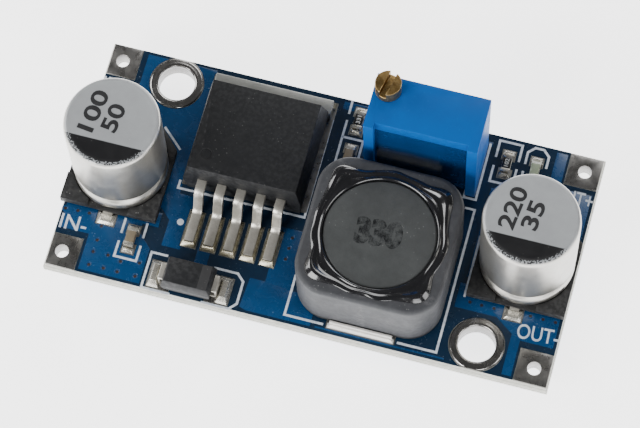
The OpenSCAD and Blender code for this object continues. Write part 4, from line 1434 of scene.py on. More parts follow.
def rounded(
    node: str, name: str, finish: Finish, how: Rounding, body: Body = Body.MODULE
) -> None:
    """Stands a copy with rounded edges in for a frame node.

    Args:
        node: Name of the frame node.
        name: Name of the new piece.
        finish: Its finish.
        how: Width in millimetres, steps, least angle of a rounded edge and greatest smooth angle.
        body: The body that carries it.
    """
    obj = Bench.copy_of(node, name)
    Bench.bevel(obj, how.width, how.steps, how.angle)
    Bench.smooth(obj, how.shade)
    dress(obj, finish, body, stands_for=[node])


# --------------------------------------------------------------------------
# The module's sub-assemblies
# --------------------------------------------------------------------------


@dataclass
class Board:
    """Laminate, solder mask, copper relief, tinned pads and rings."""

    relief: float = 0.012
    pad_round: float = 0.035
    rim_width: float = 0.68
    rim_inset: float = 0.03
    rim_limit: float = 2.17
    round_openings: Sequence[str] = ("mounting_hole_plating", "trimmer_hole_plating")
    pours: dict[str, Sequence[Point]] = field(default_factory=dict)

    def __post_init__(self) -> None:
        """Lays out the copper areas that show through the mask."""
        low, high = span("solder_mask_top")
        left, right = low.x + 0.25, high.x - 0.25
        front, back = low.y + 0.25, high.y - 0.25
        pads = span("wire_hole_plating")
        pad = 2.9
        pin_left = pads[0].x + pad
        pin_right = pads[1].x - pad
        self.pours = {
            "input_ground_pour": [
                (left, front + pad + 0.3), (pin_left - 0.1, front + pad + 0.3), (pin_left - 0.1, front),
                (-13.2, front), (-13.2, -6.9), (-14.4, -5.7), (-14.4, -4.9), (-13.05, -4.9),
                (-13.05, -3.6),
                (left, -3.6),
            ],
            "input_pour": [
                (left, -3.1), (-13.3, -3.1), (-12.35, -4.0), (-12.35, -6.35), (-10.75, -6.35),
                (-10.75, -1.5),
                (-12.15, -1.5), (-12.15, back), (pin_left + 0.15, back),
                (pin_left + 0.15, back - pad - 0.3),
                (left, back - pad - 0.3),
            ],
            "switch_pour": [(-9.3, -7.15), (-9.3, -4.1), (-8.2, -4.1), (-8.2, -7.15)],
            "centre_pour": [
                (-4.4, -7.25), (-3.1, -7.25), (-3.1, -2.2), (-0.9, -2.2), (-0.9, -7.5), (1.5, -7.5),
                (1.5, front),
                (-4.0, front), (-4.6, -9.9),
            ],
            "front_pour": [(1.9, front), (1.9, -9.95), (12.9, -9.95), (12.9, front)],
            "output_ground_pour": [
                (12.6, -3.2), (right, -3.2), (right, front + pad + 0.3),
                (pin_right - 0.1, front + pad + 0.3),
                (pin_right - 0.1, front), (pin_right - 0.9, front), (pin_right - 0.9, -6.5),
                (16.2, -5.4),
                (12.6, -5.4),
            ],
            "output_pour": [
                (12.6, -2.6), (13.0, -2.6), (13.0, 5.6), (15.0, 5.9), (17.6, 5.9), (17.6, back),
                (pin_right - 0.1, back),
                (pin_right - 0.1, back - pad - 0.2), (right, back - pad - 0.2), (right, 0.0),
                (21.0, -2.6),
            ],
            "back_pour": [(-0.9, back), (-0.9, 9.4), (2.6, 9.4), (2.6, back)],
            "feedback_trace": [(1.7, 5.6), (2.15, 5.6), (2.15, 9.2), (12.2, 9.2), (12.2, 9.6), (1.7,
            9.6)],
        }

    def copper(self) -> None:
        """Raises the mask where copper lies under it."""
        top = span("solder_mask_top")[1].z
        sheets = [
            Bench.sheet(name, outline, top - 0.004, self.relief + 0.004) for name,
            outline in self.pours.items()
        ]
        relief = Bench.join(sheets, "mask_over_copper_areas")
        Bench.bevel(relief, 0.01, 2, 40)
        self._open_pads(relief)
        Bench.smooth(relief, 40)
        dress(relief, MASK_POUR)

    def _open_pads(self, relief: bpy.types.Object) -> None:
        """Cuts the pads, rings and lands out of the raised mask.

        Args:
            relief: The raised mask areas.
        """
        cutters = []
        top = span("solder_mask_top")[1].z
        for node, grow in (
            ("solder_lands", 0.06), ("wire_hole_plating", 0.06), ("mounting_hole_plating", 0.06),
            ("trimmer_hole_plating", 0.06),
        ):
            tool = Bench.copy_of(node, f"cutter_{node}")
            cutters.append(tool)
            for part in self._loose_boxes(tool):
                middle, reach = (part[0] + part[1]) / 2, (part[1].x - part[0].x) / 2 + grow
                if node in self.round_openings:
                    cut = Bench.disc("cutter_disc", (middle.x, middle.y, top - 1), reach, 2.0, 64)
                else:
                    cut = Bench.block(
                        "cutter_block", (part[0].x - grow, part[0].y - grow, top - 1),
                        (part[1].x + grow, part[1].y + grow, top + 1),
                    )
                cutters.append(cut)
                modifier = relief.modifiers.new("opening", "BOOLEAN")
                modifier.operation = "DIFFERENCE"
                modifier.solver = "EXACT"
                modifier.object = cut
        Bench.apply(relief)
        for tool in cutters:
            bpy.data.objects.remove(tool)

    @staticmethod
    def _loose_boxes(obj: bpy.types.Object) -> list[tuple[Vector, Vector]]:
        """Finds the loose parts of a mesh.

        Args:
            obj: The object.

        Returns:
            The lowest and highest corner of each part, in millimetres.
        """
        mesh = bmesh.new()
        mesh.from_mesh(obj.data)
        seen: set[int] = set()
        boxes = []
        for start in mesh.verts:
            if start.index in seen:
                continue
            stack, members = [start], []
            seen.add(start.index)
            while stack:
                vert = stack.pop()
                members.append(vert.co.copy())
                for edge in vert.link_edges:
                    other = edge.other_vert(vert)
                    if other.index not in seen:
                        seen.add(other.index)
                        stack.append(other)
            low = Vector([min(c[i] for c in members) for i in range(3)]) / MM
            high = Vector([max(c[i] for c in members) for i in range(3)]) / MM
            boxes.append((low, high))
        mesh.free()
        return boxes

    def tinned(self) -> None:
        """Rounds the tinned pads and rings, as levelled tin stands on them."""
        for node, name in (
            ("mounting_hole_plating", "mounting_hole_rings"),
            ("wire_hole_plating", "wire_pads"),
            ("trimmer_hole_plating", "trimmer_rings"),
        ):
            rounded(node, name, TIN, Rounding(self.pad_round, steps=3, angle=40, shade=40))

    def hole_rims(self) -> None:
        """Domes the levelled tin on the mounting holes' upper rings."""
        plating = Bench.copy_of("mounting_hole_plating", "ring_guide")
        boxes = self._loose_boxes(plating)
        bpy.data.objects.remove(plating)
        rims = [self._ring_tin(low, high) for low, high in boxes]
        obj = Bench.join(rims, "mounting_ring_tin")
        Bench.smooth(obj, 50)
        dress(obj, RIM)

    def _ring_tin(self, low: Vector, high: Vector) -> bpy.types.Object:
        """Domes the tin on one ring, cut off where the board ends.

        Args:
            low: Lowest corner of the ring's plating in millimetres.
            high: Its highest corner in millimetres.

        Returns:
            A closed ring of tin.
        """
        cx, cy = (low.x + high.x) / 2, (low.y + high.y) / 2
        outer, top = (high.x - low.x) / 2 - self.rim_inset, high.z
        inner = outer - self.rim_width
        rows = [
            (inner, top - 0.3), (inner - 0.02, top), (inner + 0.05, top + 0.07),
            (inner + 0.16, top + 0.1),
            (inner + 0.3, top + 0.085), (outer - 0.26, top + 0.05), (outer - 0.14, top + 0.06),
            (outer - 0.04, top + 0.035), (outer, top - 0.02),
        ]

        def place(angle: float, row: int) -> tuple[float, float, float]:
            """Gives one point of the tin.

            Args:
                angle: Angle round the ring in radians.
                row: Row on its outline.

            Returns:
                X, Y and Z in millimetres.
            """
            radius, z = rows[row]
            aside = max(-self.rim_limit, min(self.rim_limit, radius * math.sin(angle)))
            return cx + radius * math.cos(angle), cy + aside, z

        return Bench.wrap("ring_tin", 96, len(rows), place)

    def build(self) -> None:
        """Builds and dresses the board."""
        paint("circuit_board", LAMINATE)
        paint("solder_mask_top", MASK_OPEN)
        paint("solder_mask_bottom", MASK_POUR)
        paint("solder_lands", TIN)
        self.copper()
        self.tinned()
        self.hole_rims()


@dataclass
class Print:
    """White print on the board: part outlines, dots and plain end marks."""

    width: float = 0.2
    height: float = 0.012
    strokes: dict[str, Sequence[Point]] = field(default_factory=dict)
    dots: Sequence[Point] = ((-11.38, -3.96),)
    marks: Sequence[tuple[str, Point, Point, float]] = (
        ("IN-", (-20.02, -6.3), (2.3, 1.3), 1.0),
        ("OUT-", (19.85, -6.0), (3.45, 1.3), 3.0),
        ("OUT+", (19.8, 6.45), (3.45, 1.3), 0.0),
        ("IN+", (-20.1, 6.6), (2.5, 1.3), 0.0),
    )

    def __post_init__(self) -> None:
        """Lays the outlines out round the parts."""
        self.strokes = {
            "inductor_outline": [(2.53, -9.65), (-0.78, -9.65), (-0.78, -6.0)],
            "inductor_outline_b": [(8.82, -9.65), (12.15, -9.65), (12.15, 3.3), (11.3, 3.3)],
            "trimmer_outline": [(12.0, 9.47), (12.0, 4.2), (10.97, 4.2), (10.97, 5.05)],
            "set_resistor_outline": [(-0.28, 10.31), (-0.28, 9.07)],
            "set_resistor_outline_b": [(-0.28, 8.5), (-0.28, 3.4)],
            "set_resistor_cross": [(-0.28, 6.93), (1.53, 6.93), (1.53, 3.4)],
            "lamp_resistor_outline": [(12.7, 8.4), (12.7, 9.95), (14.66, 9.95), (14.66, 8.43)],
            "lamp_resistor_outline_b": [(12.7, 7.65), (12.7, 6.17), (14.66, 6.17), (14.66, 7.75)],
            "lamp_outline": [(15.22, 8.4), (15.22, 9.5), (15.75, 10.02), (16.5, 10.02), (17.03, 9.5),
            (17.03, 8.41)],
            "lamp_outline_b": [(15.22, 7.74), (15.22, 6.2), (17.03, 6.2), (17.03, 7.74)],
            "input_capacitor_cut": [(-15.05, 3.99), (-13.2, 2.3)],
            "output_capacitor_side": [(13.2, 1.2), (13.2, -4.36)],
            "regulator_outline": [(-12.43, -0.3), (-12.43, -1.05), (-1.45, -0.95), (-1.45, 8.2)],
            "rectifier_outline": [(-11.53, -7.14), (-12.95, -7.14), (-12.95, -10.34), (-10.5, -10.34)],
            "rectifier_outline_b": [
                (-7.54, -7.16), (-5.47, -7.16), (-4.85, -7.75), (-4.85, -9.75), (-5.4, -10.34),
                (-7.8, -10.34),
            ],
            "input_chip_outline": [(-15.9, -4.77), (-15.9, -6.15)],
            "input_chip_outline_b": [(-15.9, -6.85), (-15.9, -8.25), (-14.0, -8.25), (-14.0, -6.85)],
            "input_chip_outline_c": [(-14.0, -6.15), (-14.0, -4.77)],
        }

    def build(self) -> None:
        """Builds and dresses the print."""
        top = span("solder_mask_top")[1].z + 0.008
        lines = [
            Bench.ribbon(name, path, self.width, top, self.height) for name,
            path in self.strokes.items()
        ]
        lines += [Bench.disc("pin_one_dot", (*dot, top), 0.29, self.height, 32) for dot in self.dots]
        outlines = Bench.join(lines, "white_outlines")
        dress(outlines, INK)
        marks = [
            Bench.lettering(f"mark_{i}", text, (*spot, top), size, turn, self.height, 0.008)
            for i, (text, spot, size, turn) in enumerate(self.marks)
        ]
        dress(Bench.join(marks, "end_marks"), INK)


@dataclass
class Vias:
    """Small plated holes, filled over with mask, in short rows."""

    ring: float = 0.3
    well: float = 0.16
    rise: float = 0.03
    at: Sequence[Point] = (
        (-21.07, -5.2), (-19.99, -5.15), (-18.99, -5.12), (-17.68, -5.98), (-17.66, -7.26),
        (-17.7, -8.34),
        (-17.72, -9.53), (-16.4, -8.33), (-16.45, -9.53), (-15.23, -8.6), (-15.25, -9.55),
        (-13.68, -8.33),
        (-13.69, -9.55), (-1.93, -2.96), (-1.96, -3.93), (-1.98, -4.91), (13.76, -4.68), (14.76, -4.72),
        (15.82, -4.73), (18.88, -4.62), (19.95, -4.63), (21.0, -4.63),
    )

    def build(self) -> None:
        """Builds one via and copies it to every place."""
        top = span("solder_mask_top")[1].z
        x, y = self.at[0]
        profile = [
            (0.0, top + 0.006), (self.well * 0.9, top + 0.006), (self.well, top + self.rise * 0.7),
            (self.well * 1.25, top + self.rise), (self.ring * 0.75, top + self.rise * 0.8),
            (self.ring, top), (self.ring, top - 0.01), (0.0, top - 0.01),
        ]
        first = Bench.lathe("via", profile, (x, y), 24)
        first.data.materials.append(MASK_POUR.material())
        copies = [
            Bench.double(first, f"via_{i}", (to_x - x, to_y - y, 0)) for i,
            (to_x, to_y) in enumerate(self.at[1:])
        ]
        rims = Bench.join([first, *copies], "via_rims")
        Bench.smooth(rims, 50)
        dress(rims, MASK_POUR)
        well = Bench.disc("via_well", (x, y, top + 0.004), self.well * 0.86, 0.012, 16)
        Bench.bevel(well, 0.004, 1)
        copies = [
            Bench.double(well, f"via_well_{i}", (to_x - x, to_y - y, 0)) for i,
            (to_x, to_y) in enumerate(self.at[1:])
        ]
        dress(Bench.join([well, *copies], "via_wells"), VIA_DARK)


@dataclass
class Regulator:
    """Moulded body, heatsink tab, five bent leads and their solder."""

    edge: float = 0.07
    lead_edge: float = 0.06
    lead_count: int = 5
    lead_width: float = 0.8
    lead_thick: float = 0.45
    heel_reach: float = 2.15

    def leads(self) -> None:
        """Bends one lead smoothly and copies it to its four neighbours."""
        low, high = span("regulator_leads")
        front = span("regulator_body")[0].y
        width, thick = self.lead_width, self.lead_thick
        pitch = (high.x - low.x - width) / (self.lead_count - 1)
        top = high.z
        toe, foot = low.y, low.z
        inside = high.y - 0.05
        heel = front - self.heel_reach
        path: list[Point] = [
            (inside, top), (front - 0.55, top), (front - 0.95, top - 0.06), (front - 1.22, top - 0.32),
            (front - 1.4, top - 0.75), (heel + 0.42, foot + thick + 0.5),
            (heel + 0.2, foot + thick + 0.14),
            (heel - 0.12, foot + thick), (toe + 0.05, foot + thick),
        ]
        first = self._strip("lead_strip", path, low.x, width, thick)
        Bench.bevel(first, self.lead_edge, 2, 50)
        copies = [
            Bench.double(first, f"lead_strip_{i}", (pitch * i, 0, 0)) for i in range(1, self.lead_count)
        ]
        leads = Bench.join([first, *copies], "regulator_leads_bent")
        Bench.smooth(leads, 40)
        dress(leads, LEAD, stands_for=["regulator_leads"])

    @staticmethod
    def _strip(
        name: str, path: Sequence[Point], left: float, width: float, thick: float
    ) -> bpy.types.Object:
        """Extrudes a strip's end face along its bends.

        Args:
            name: Name of the piece.
            path: Y and Z of its upper face along its length, in millimetres.
            left: Its lowest X in millimetres.
            width: Width in millimetres.
            thick: Thickness in millimetres.

        Returns:
            A closed strip.
        """
        upper = [Vector(p) for p in path]
        lower = []
        for i, here in enumerate(upper):
            before = (here - upper[i - 1]).normalized() if i else None
            after = (upper[i + 1] - here).normalized() if i + 1 < len(upper) else None
            first = before if before is not None else after
            second = after if after is not None else before
            along = (first + second).normalized()
            across = Vector((-along.y, along.x))
            lower.append(here + across * (thick / max(0.6, along.dot(first))))
        obj = Bench.block(
            name, (left, min(upper[0].x, upper[1].x), lower[0].y),
            (left + width, max(upper[0].x, upper[1].x), upper[0].y),
        )
        with Bench.edit(obj) as mesh:
            def place(verts: Sequence[bmesh.types.BMVert], i: int) -> None:
                """Puts one end's four corners on a point of the path.

                Args:
                    verts: The four corners.
                    i: Number of the point.
                """
                ordered = sorted(verts, key=lambda v: v.co.z)
                for vert in ordered[:2]:
                    vert.co.y, vert.co.z = lower[i].x * MM, lower[i].y * MM
                for vert in ordered[2:]:
                    vert.co.y, vert.co.z = upper[i].x * MM, upper[i].y * MM

            back = [v for v in mesh.verts if v.co.y / MM > upper[0].x - 0.01]
            frontal = [v for v in mesh.verts if v not in back]
            place(back, 0)
            place(frontal, 1)
            for i in range(2, len(upper)):
                bpy.ops.mesh.select_all(action="DESELECT")
                spot = (upper[i - 1] + lower[i - 1]) / 2
                Bench.select_faces(
                    obj,
                    lambda f: (f.calc_center_median() / MM - Vector((left + width / 2, spot.x,
                    spot.y))).length
                    < 0.02,
                )
                bpy.ops.mesh.extrude_region_move()
                mesh = bmesh.from_edit_mesh(obj.data)
                moved = [v for v in mesh.verts if v.select]
                place(moved, i)
                bmesh.update_edit_mesh(obj.data)
            bpy.ops.mesh.select_all(action="SELECT")
            bpy.ops.mesh.normals_make_consistent(inside=False)
        return obj

    def body(self) -> None:
        """Rounds the moulded body and the tab."""
        rounded(
            "regulator_body", "regulator_moulding", EPOXY,
            Rounding(self.edge, steps=3, angle=25, shade=35),
        )
        rounded(
            "regulator_tab", "regulator_heat_tab", TAB,
            Rounding(0.08, steps=3, angle=30, shade=35),
        )

    def solder(self) -> None:
        """Rounds the solder at the feet and behind the tab."""
        rounded(
            "regulator_solder", "regulator_solder_fillets", FLUX,
            Rounding(0.09, steps=3, angle=20, shade=60),
        )

    def build(self) -> None:
        """Builds and dresses the regulator."""
        self.body()
        self.leads()
        self.solder()


@dataclass
class Capacitor:
    """Aluminium can on a moulded base, with its two terminals."""

    which: str
    numbers: Sequence[str]
    turn: float = 83.0
    letter: float = 1.42
    width: float = 3.7
    column: float = 1.75
    lead_in: float = 0.35

    def can(self) -> None:
        """Turns the can: crimped foot, bead groove, wall, rolled rim and flat lid."""
        node = f"{self.which}_capacitor_can"
        low, high = span(node)
        radius = (high.x - low.x) / 2
        at = ((low.x + high.x) / 2, (low.y + high.y) / 2)
        z0, z1 = low.z, high.z
        crimp = (
            (0.5, 0.0), (0.3, 0.04), (0.14, 0.16), (0.05, 0.36), (0.02, 0.62), (0.03, 0.86),
            (0.09, 1.06),
            (0.2, 1.22), (0.34, 1.36), (0.42, 1.5), (0.42, 1.62), (0.34, 1.76), (0.18, 1.92),
            (0.07, 2.12),
            (0.02, 2.34), (0.0, 2.7),
        )
        rim = (
            (0.0, 2.0), (0.0, 0.5), (0.02, 0.34), (0.07, 0.2), (0.15, 0.1), (0.25, 0.035),
            (0.36, 0.005),
            (0.46, 0.02), (0.58, 0.045), (0.72, 0.05),
        )
        profile: list[Point] = [(0.0, z0)]
        profile += [(radius - inset, z0 + rise) for inset, rise in crimp]
        profile += [(radius - inset, z1 - drop) for inset, drop in rim]
        profile += [(0.0, z1 - 0.05)]
        obj = Bench.lathe(f"{self.which}_can", profile, at, 112)
        Bench.smooth(obj, 50)
        finish = replace(
            CAN, name=f"{CAN.name}_{self.which}", top_z=z1 * MM, centre=(at[0] * MM, at[1] * MM),
            radius=radius * MM,
        )
        dress(obj, finish, stands_for=[node])
        step = self.column
        angle = math.radians(self.turn)
        across = Vector((math.sin(angle), -math.cos(angle)))
        along = Vector((math.cos(angle), math.sin(angle)))
        prints = []
        for i, text in enumerate(self.numbers):
            spot = Vector(at) + across * (step * (i - 1)) + along * self.lead_in
            prints.append(
                Bench.lettering(
                    f"{self.which}_number_{i}", text, (spot.x, spot.y, z1 - 0.05),
                    (self.width * len(text) / 3, self.letter), self.turn, 0.012, 0.024,
                )
            )
        dress(Bench.join(prints, f"{self.which}_can_numbers"), LID_INK)

    def base(self) -> None:
        """Rounds the moulded base and dresses the terminals."""
        node = f"{self.which}_capacitor_base"
        rounded(
            node, f"{self.which}_base", BASE,
            Rounding(0.06, steps=2, angle=30, shade=35),
        )
        node = f"{self.which}_capacitor_terminals"
        rounded(
            node, f"{self.which}_terminals", LEAD,
            Rounding(0.04, steps=2, angle=30, shade=35),
        )

    def build(self) -> None:
        """Builds and dresses the capacitor."""
        self.can()
        self.base()


@dataclass
class Inductor:
    """Ferrite shield and core, winding, glue, base and terminals."""

    shield_edge: float = 0.42
    corner: float = 2.8
    well: float = 10.8
    lobes: int = 160
    pool: float = 1.25
    bead_depth: float = 0.5

    def shield(self) -> None:
        """Presses the shield as a rounded square ring, its outer top edge rounded most."""
        low, high = span("inductor_shield")
        cx, cy = (low.x + high.x) / 2, (low.y + high.y) / 2
        half, well = (high.x - low.x) / 2, self.well / 2
        edge, lip, toe = self.shield_edge, 0.1, 0.08
        steps = [math.radians(15 * i) for i in range(7)]
        rows: list[tuple[float, float, bool]] = [(well, low.z, False), (well, high.z - lip, False)]
        rows += [(well + lip, high.z, False)]
        rows += [(edge * (1 - math.sin(a)), high.z - edge * (1 - math.cos(a)), True) for a in steps]
        rows += [(0.0, low.z + toe, True), (toe, low.z, True)]

        def place(angle: float, row: int) -> tuple[float, float, float]:
            """Gives one point of the shield.

            Args:
                angle: Angle round the ring in radians.
                row: Row on its outline.

            Returns:
                X, Y and Z in millimetres.
            """
            size, z, outer = rows[row]
            c, s = math.cos(angle), math.sin(angle)
            reach = self._limit(half - size, self.corner - size * 0.5, c, s) if outer else size
            return cx + reach * c, cy + reach * s, z

        obj = Bench.wrap("ferrite_shield", 160, len(rows), place)
        Bench.smooth(obj, 40)
        dress(obj, FERRITE, stands_for=["inductor_shield"])

    def core(self) -> None:
        """Rounds the ground core."""
        rounded(
            "inductor_core", "ferrite_core", CORE,
            Rounding(0.08, steps=3, angle=30, shade=40),
        )
        low, high = span("inductor_core")
        middle = ((low.x + high.x) / 2 - 0.1, (low.y + high.y) / 2 + 0.1, high.z - 0.002)
        mark = Bench.lettering("core_number", "330", middle, (3.9, 2.4), 4.0, 0.008, 0.07)
        dress(mark, SMUDGE_INK)

    def glue(self) -> None:
        """Runs the glue round the gap, with a pool at each corner and a run in front."""
        low, high = span("inductor_shield")
        core_low, core_high = span("inductor_core")
        glue_low, glue_high = span("inductor_glue")
        cx, cy = (low.x + high.x) / 2, (low.y + high.y) / 2
        core = (core_high.x - core_low.x) / 2
        top = glue_high.z
        inner = core + 0.02
        ring = (glue_high.x - glue_low.x) / 2
        half = (high.x - low.x) / 2
        rows = 18

        def place(angle: float, row: int) -> tuple[float, float, float]:
            """Gives one point of the top of the bead.

            Args:
                angle: Angle round the ring in radians.
                row: Row on its outline.

            Returns:
                X, Y and Z in millimetres.
            """
            c, s = math.cos(angle), math.sin(angle)
            corner = abs(math.sin(2 * angle)) ** 9
            wave = 0.05 * math.sin(5 * angle + 0.6) + 0.035 * math.sin(11 * angle + 2.0)
            wave += 0.03 * math.sin(17 * angle) + 0.1 * max(0.0, -s) ** 2 * math.sin(9 * angle + 0.4)
            reach = ring + 0.06 + wave + self.pool * corner
            reach = min(reach, self._limit(half - 0.3, self.corner - 0.3, c, s))
            share = min(row, rows) / rows
            radius = inner + (reach - inner) * share
            lip = math.exp(-((share - 0.16) / 0.13) ** 2) * 0.12
            bank = math.exp(-((share - 0.7) / 0.2) ** 2) * (
                0.1 + 0.26 * corner + 0.03 * math.sin(7 * angle)
            )
            foot = min(1.0, share / 0.08, (1 - share) / 0.07)
            return cx + radius * c, cy + radius * s, top - 0.14 + (0.04 + lip + bank) * max(0.0, foot) ** 0.5

        def closed_place(angle: float, row: int) -> tuple[float, float, float]:
            """Gives one point of the bead, with its two underside rows last.

            Args:
                angle: Angle round the ring in radians.
                row: Row on its outline.

            Returns:
                X, Y and Z in millimetres.
            """
            if row <= rows:
                return place(angle, row)
            x, y, _ = place(angle, rows if row == rows + 1 else 0)
            return x, y, top - self.bead_depth

        obj = Bench.wrap("glue_bead", self.lobes, rows + 3, closed_place)
        Bench.smooth(obj, 55)
        dress(obj, GLUE, stands_for=["inductor_glue"])

    @staticmethod
    def _limit(half: float, corner: float, c: float, s: float) -> float:
        """Gives how far a rounded square reaches in one direction.

        Args:
            half: Half its side in millimetres.
            corner: Corner radius in millimetres.
            c: Cosine of the direction.
            s: Sine of the direction.

        Returns:
            The reach in millimetres.
        """
        straight = half / max(abs(c), abs(s))
        x, y = abs(c) * straight, abs(s) * straight
        k = half - corner
        if x <= k or y <= k:
            return straight
        b = k * (abs(c) + abs(s))
        return b + math.sqrt(max(0.0, b * b - 2 * k * k + corner * corner))

    def foot(self) -> None:
        """Rounds the base and the terminals, and dresses the winding."""
        rounded(
            "inductor_base", "inductor_foot", BASE,
            Rounding(0.06, steps=2, angle=40, shade=35),
        )
        rounded(
            "inductor_terminals", "inductor_end_plates", BRIGHT,
            Rounding(0.04, steps=2, angle=30, shade=35),
        )
        rounded(
            "inductor_solder", "inductor_solder_fillets", BRIGHT,
            Rounding(0.06, steps=3, angle=20, shade=60),
        )
        paint("inductor_winding", COPPER)

    def build(self) -> None:
        """Builds and dresses the inductor."""
        self.shield()
        self.core()
        self.glue()
        self.foot()


@dataclass
class Rectifier:
    """Moulded diode with a grey band at its cathode end."""

    band: float = 0.8

    def build(self) -> None:
        """Builds and dresses the rectifier."""
        rounded(
            "rectifier_body", "rectifier_moulding", EPOXY,
            Rounding(0.06, steps=3, angle=25, shade=35),
        )
        low, high = span("rectifier_body")
        band = Bench.block(
            "cathode_band", (high.x - 0.3 - self.band, low.y + 0.24, high.z - 0.004),
            (high.x - 0.3, high.y - 0.24, high.z + 0.006),
        )
        Bench.bevel(band, 0.003, 1)
        grey = replace(
            EPOXY, name="band_print", light=srgb(52, 52, 53), dark=srgb(42, 42, 43), wear=0.0
        )
        dress(band, grey)
        rounded(
            "rectifier_leads", "rectifier_straps", LEAD,
            Rounding(0.06, steps=3, angle=40, shade=40),
        )
        rounded(
            "rectifier_solder", "rectifier_solder_fillets", SOLDER,
            Rounding(0.16, steps=4, angle=20, shade=70),
        )


@dataclass
class Trimmer:
    """Blue housing with potted face, pins, screw, wiper and contact."""

    edge: float = 0.09

    def build(self) -> None:
        """Builds and dresses the trimmer."""
        rounded(
            "trimmer_housing", "trimmer_case", BLUE,
            Rounding(self.edge, steps=3, angle=40, shade=35),
        )
        # The potting's darker blue is painted shade on the trimmer's front face.
        for tail, finish in (
            ("potting", POTTING), ("element", WHITE), ("pins", LEAD), ("clip", STEEL), ("seal", RUBBER),
            ("wiper", CARRIER), ("contact", GILT), ("solder", SOLDER),
        ):
            paint(f"trimmer_{tail}", finish)
        rounded(
            "trimmer_screw", "adjusting_screw", BRASS,
            Rounding(0.07, steps=3, angle=40, shade=35), Body.ADJUSTER,
        )


@dataclass
class ChipParts:
    """Chip resistors, chip capacitors and the lamp, with their solder."""

    digits: dict[str, str] = field(
        default_factory=lambda: {"set_resistor": "331", "lamp_resistor": "102"}
    )

    def resistor(self, which: str) -> None:
        """Builds one chip resistor with plain digits on its glaze.

        Args:
            which: Name of the resistor.
        """
        for tail, finish, slot, width in (
            ("chip", WHITE, Slot.COAT, 0.02), ("coat", COAT, Slot.COAT, 0.015),
            ("ends", SOLDER, Slot.TIN, 0.05),
        ):
            rounded(
                f"{which}_{tail}", f"{which}_{tail}_rounded", finish,
                Rounding(width, steps=2, angle=30, shade=40),
            )
        low, high = span(f"{which}_coat")
        print_ = Bench.lettering(
            f"{which}_digits", self.digits[which], ((low.x + high.x) / 2, (low.y + high.y) / 2, high.z),
            (0.72, 0.36), 90.0, 0.006, 0.02,
        )
        dress(print_, CHIP_INK)

    def ceramic(self, which: str) -> None:
        """Builds one chip capacitor.

        Args:
            which: Name of the capacitor.
        """
        for node, finish, slot in ((which, CERAMIC, Slot.CERAMIC), (f"{which}_ends", SOLDER, Slot.TIN)):
            rounded(node, f"{node}_rounded", finish, Rounding(0.06, steps=3, angle=30, shade=40))

    def lamp(self) -> None:
        """Builds the lamp: white base, clear lens and gilt feet."""
        for node, finish, slot, width in (
            ("lamp_base", WHITE, Slot.LAMP_BASE, 0.03), ("lamp_lens", LENS, Slot.LAMP, 0.07),
        ):
            rounded(
                node, f"{node}_rounded", finish,
                Rounding(width, steps=3, angle=30, shade=40),
            )
        paint("lamp_ends", GILT)

    def build(self) -> None:
        """Builds and dresses every chip part."""
        for which in self.digits:
            self.resistor(which)
        for which in ("input_chip_capacitor", "sense_chip_capacitor"):
            self.ceramic(which)
        self.lamp()
        for node, name in (
            ("chip_solder", "chip_solder_fillets"), ("capacitor_solder", "capacitor_solder_fillets")
        ):
            rounded(node, name, SOLDER, Rounding(0.05, steps=3, angle=20, shade=60))


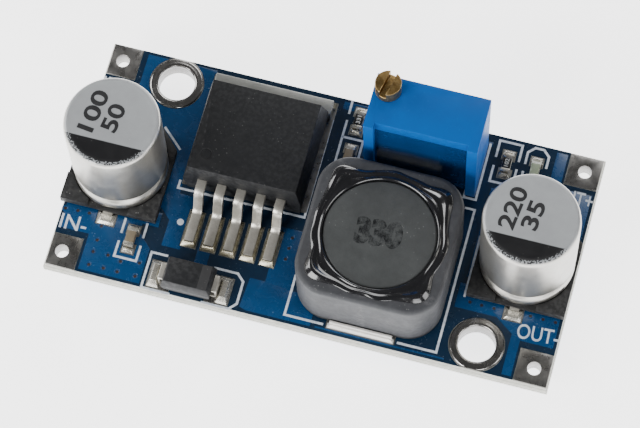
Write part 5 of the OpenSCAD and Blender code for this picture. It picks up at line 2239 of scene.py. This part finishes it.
@dataclass
class Studio:
    """Pale floor, soft lights and the camera."""

    aim: tuple[float, float, float] = (-0.27, -0.31, 1.6)
    distance: float = 251.0
    right: tuple[float, float, float] = (0.96471, 0.26221, -0.02432)
    up: tuple[float, float, float] = (-0.23637, 0.90294, 0.35893)
    back: tuple[float, float, float] = (0.11607, -0.34051, 0.93305)
    lens: float = 168.8
    air: float = 0.12
    cards: Sequence[tuple[str, tuple[float, float, float], float, float]] = (
        ("card_front_left", (-0.28, -0.42, 0.28), 0.34, 4.1),
        ("card_back", (0.05, 0.5, 0.3), 0.34, 2.0),
        ("card_right", (0.52, -0.05, 0.26), 0.3, 1.5),
        ("card_left", (-0.52, 0.08, 0.28), 0.3, 2.1),
        ("card_front_right", (0.25, -0.48, 0.22), 0.3, 1.9),
    )

    def camera(self) -> None:
        """Places the camera above the front of the module."""
        data = bpy.data.cameras.new("camera")
        data.lens = self.lens
        data.sensor_width = 36.0
        data.clip_start, data.clip_end = 0.005, 5.0
        obj = bpy.data.objects.new("camera", data)
        bpy.context.scene.collection.objects.link(obj)
        right, up, back = Vector(self.right), Vector(self.up), Vector(self.back)
        turn = Matrix((right, up, back)).transposed().to_4x4()
        place = (Vector(self.aim) + back * self.distance) * MM
        obj.matrix_world = Matrix.Translation(place) @ turn
        bpy.context.scene.camera = obj

    def light(self, name: str, at: Sequence[float], size: float, power: float) -> None:
        """Adds one soft light that faces the module.

        Args:
            name: Name of the light.
            at: Its place in metres.
            size: Side of its square in metres.
            power: Power in watts.
        """
        data = bpy.data.lights.new(name, "AREA")
        data.shape = "SQUARE"
        data.size = size
        data.energy = power
        obj = bpy.data.objects.new(name, data)
        bpy.context.scene.collection.objects.link(obj)
        obj.location = at
        obj.rotation_euler = (-Vector(at)).to_track_quat("-Z", "Y").to_euler()

    def floor(self) -> None:
        """Lays a pale floor just under the lowest pins."""
        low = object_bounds()[0].z
        Bench.clear()
        bpy.ops.mesh.primitive_plane_add(size=3.0, location=(0, 0, low - 0.0002))
        obj = bpy.context.object
        obj.name = "floor"
        Bench.settle(obj)
        finish = Finish(
            "pale_floor", (0.93, 0.93, 0.93), (0.9, 0.9, 0.9), smooth=0.7, rough=0.85, drift_scale=20.0,
            grain_strength=0.02, glow=3.0,
        )
        obj.data.materials.append(finish.material())
        obj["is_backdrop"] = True

    def build(self) -> None:
        """Builds the studio."""
        self.floor()
        for card in self.cards:
            self.light(*card)
        world = bpy.data.worlds.new("studio_air")
        world.use_nodes = True
        world.node_tree.nodes["Background"].inputs["Color"].default_value = (1, 1, 1, 1)
        world.node_tree.nodes["Background"].inputs["Strength"].default_value = self.air
        bpy.context.scene.world = world
        self.camera()


def write_sizes() -> None:
    """Brings the view layer up to date."""
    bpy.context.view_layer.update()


def main() -> None:
    """Builds every sub-assembly in order."""
    logging.basicConfig(level=logging.INFO, format="%(message)s")
    Bench.clear()
    for assembly in (
        Board(),
        Print(),
        Vias(),
        Regulator(),
        Capacitor("input", ("100", "50")),
        Capacitor("output", ("220", "35")),
        Inductor(),
        Rectifier(),
        Trimmer(),
        ChipParts(),
    ):
        LOG.info("building %s", type(assembly).__name__)
        assembly.build()
    write_sizes()
    Studio().build()


if __name__ == "__main__":
    main()
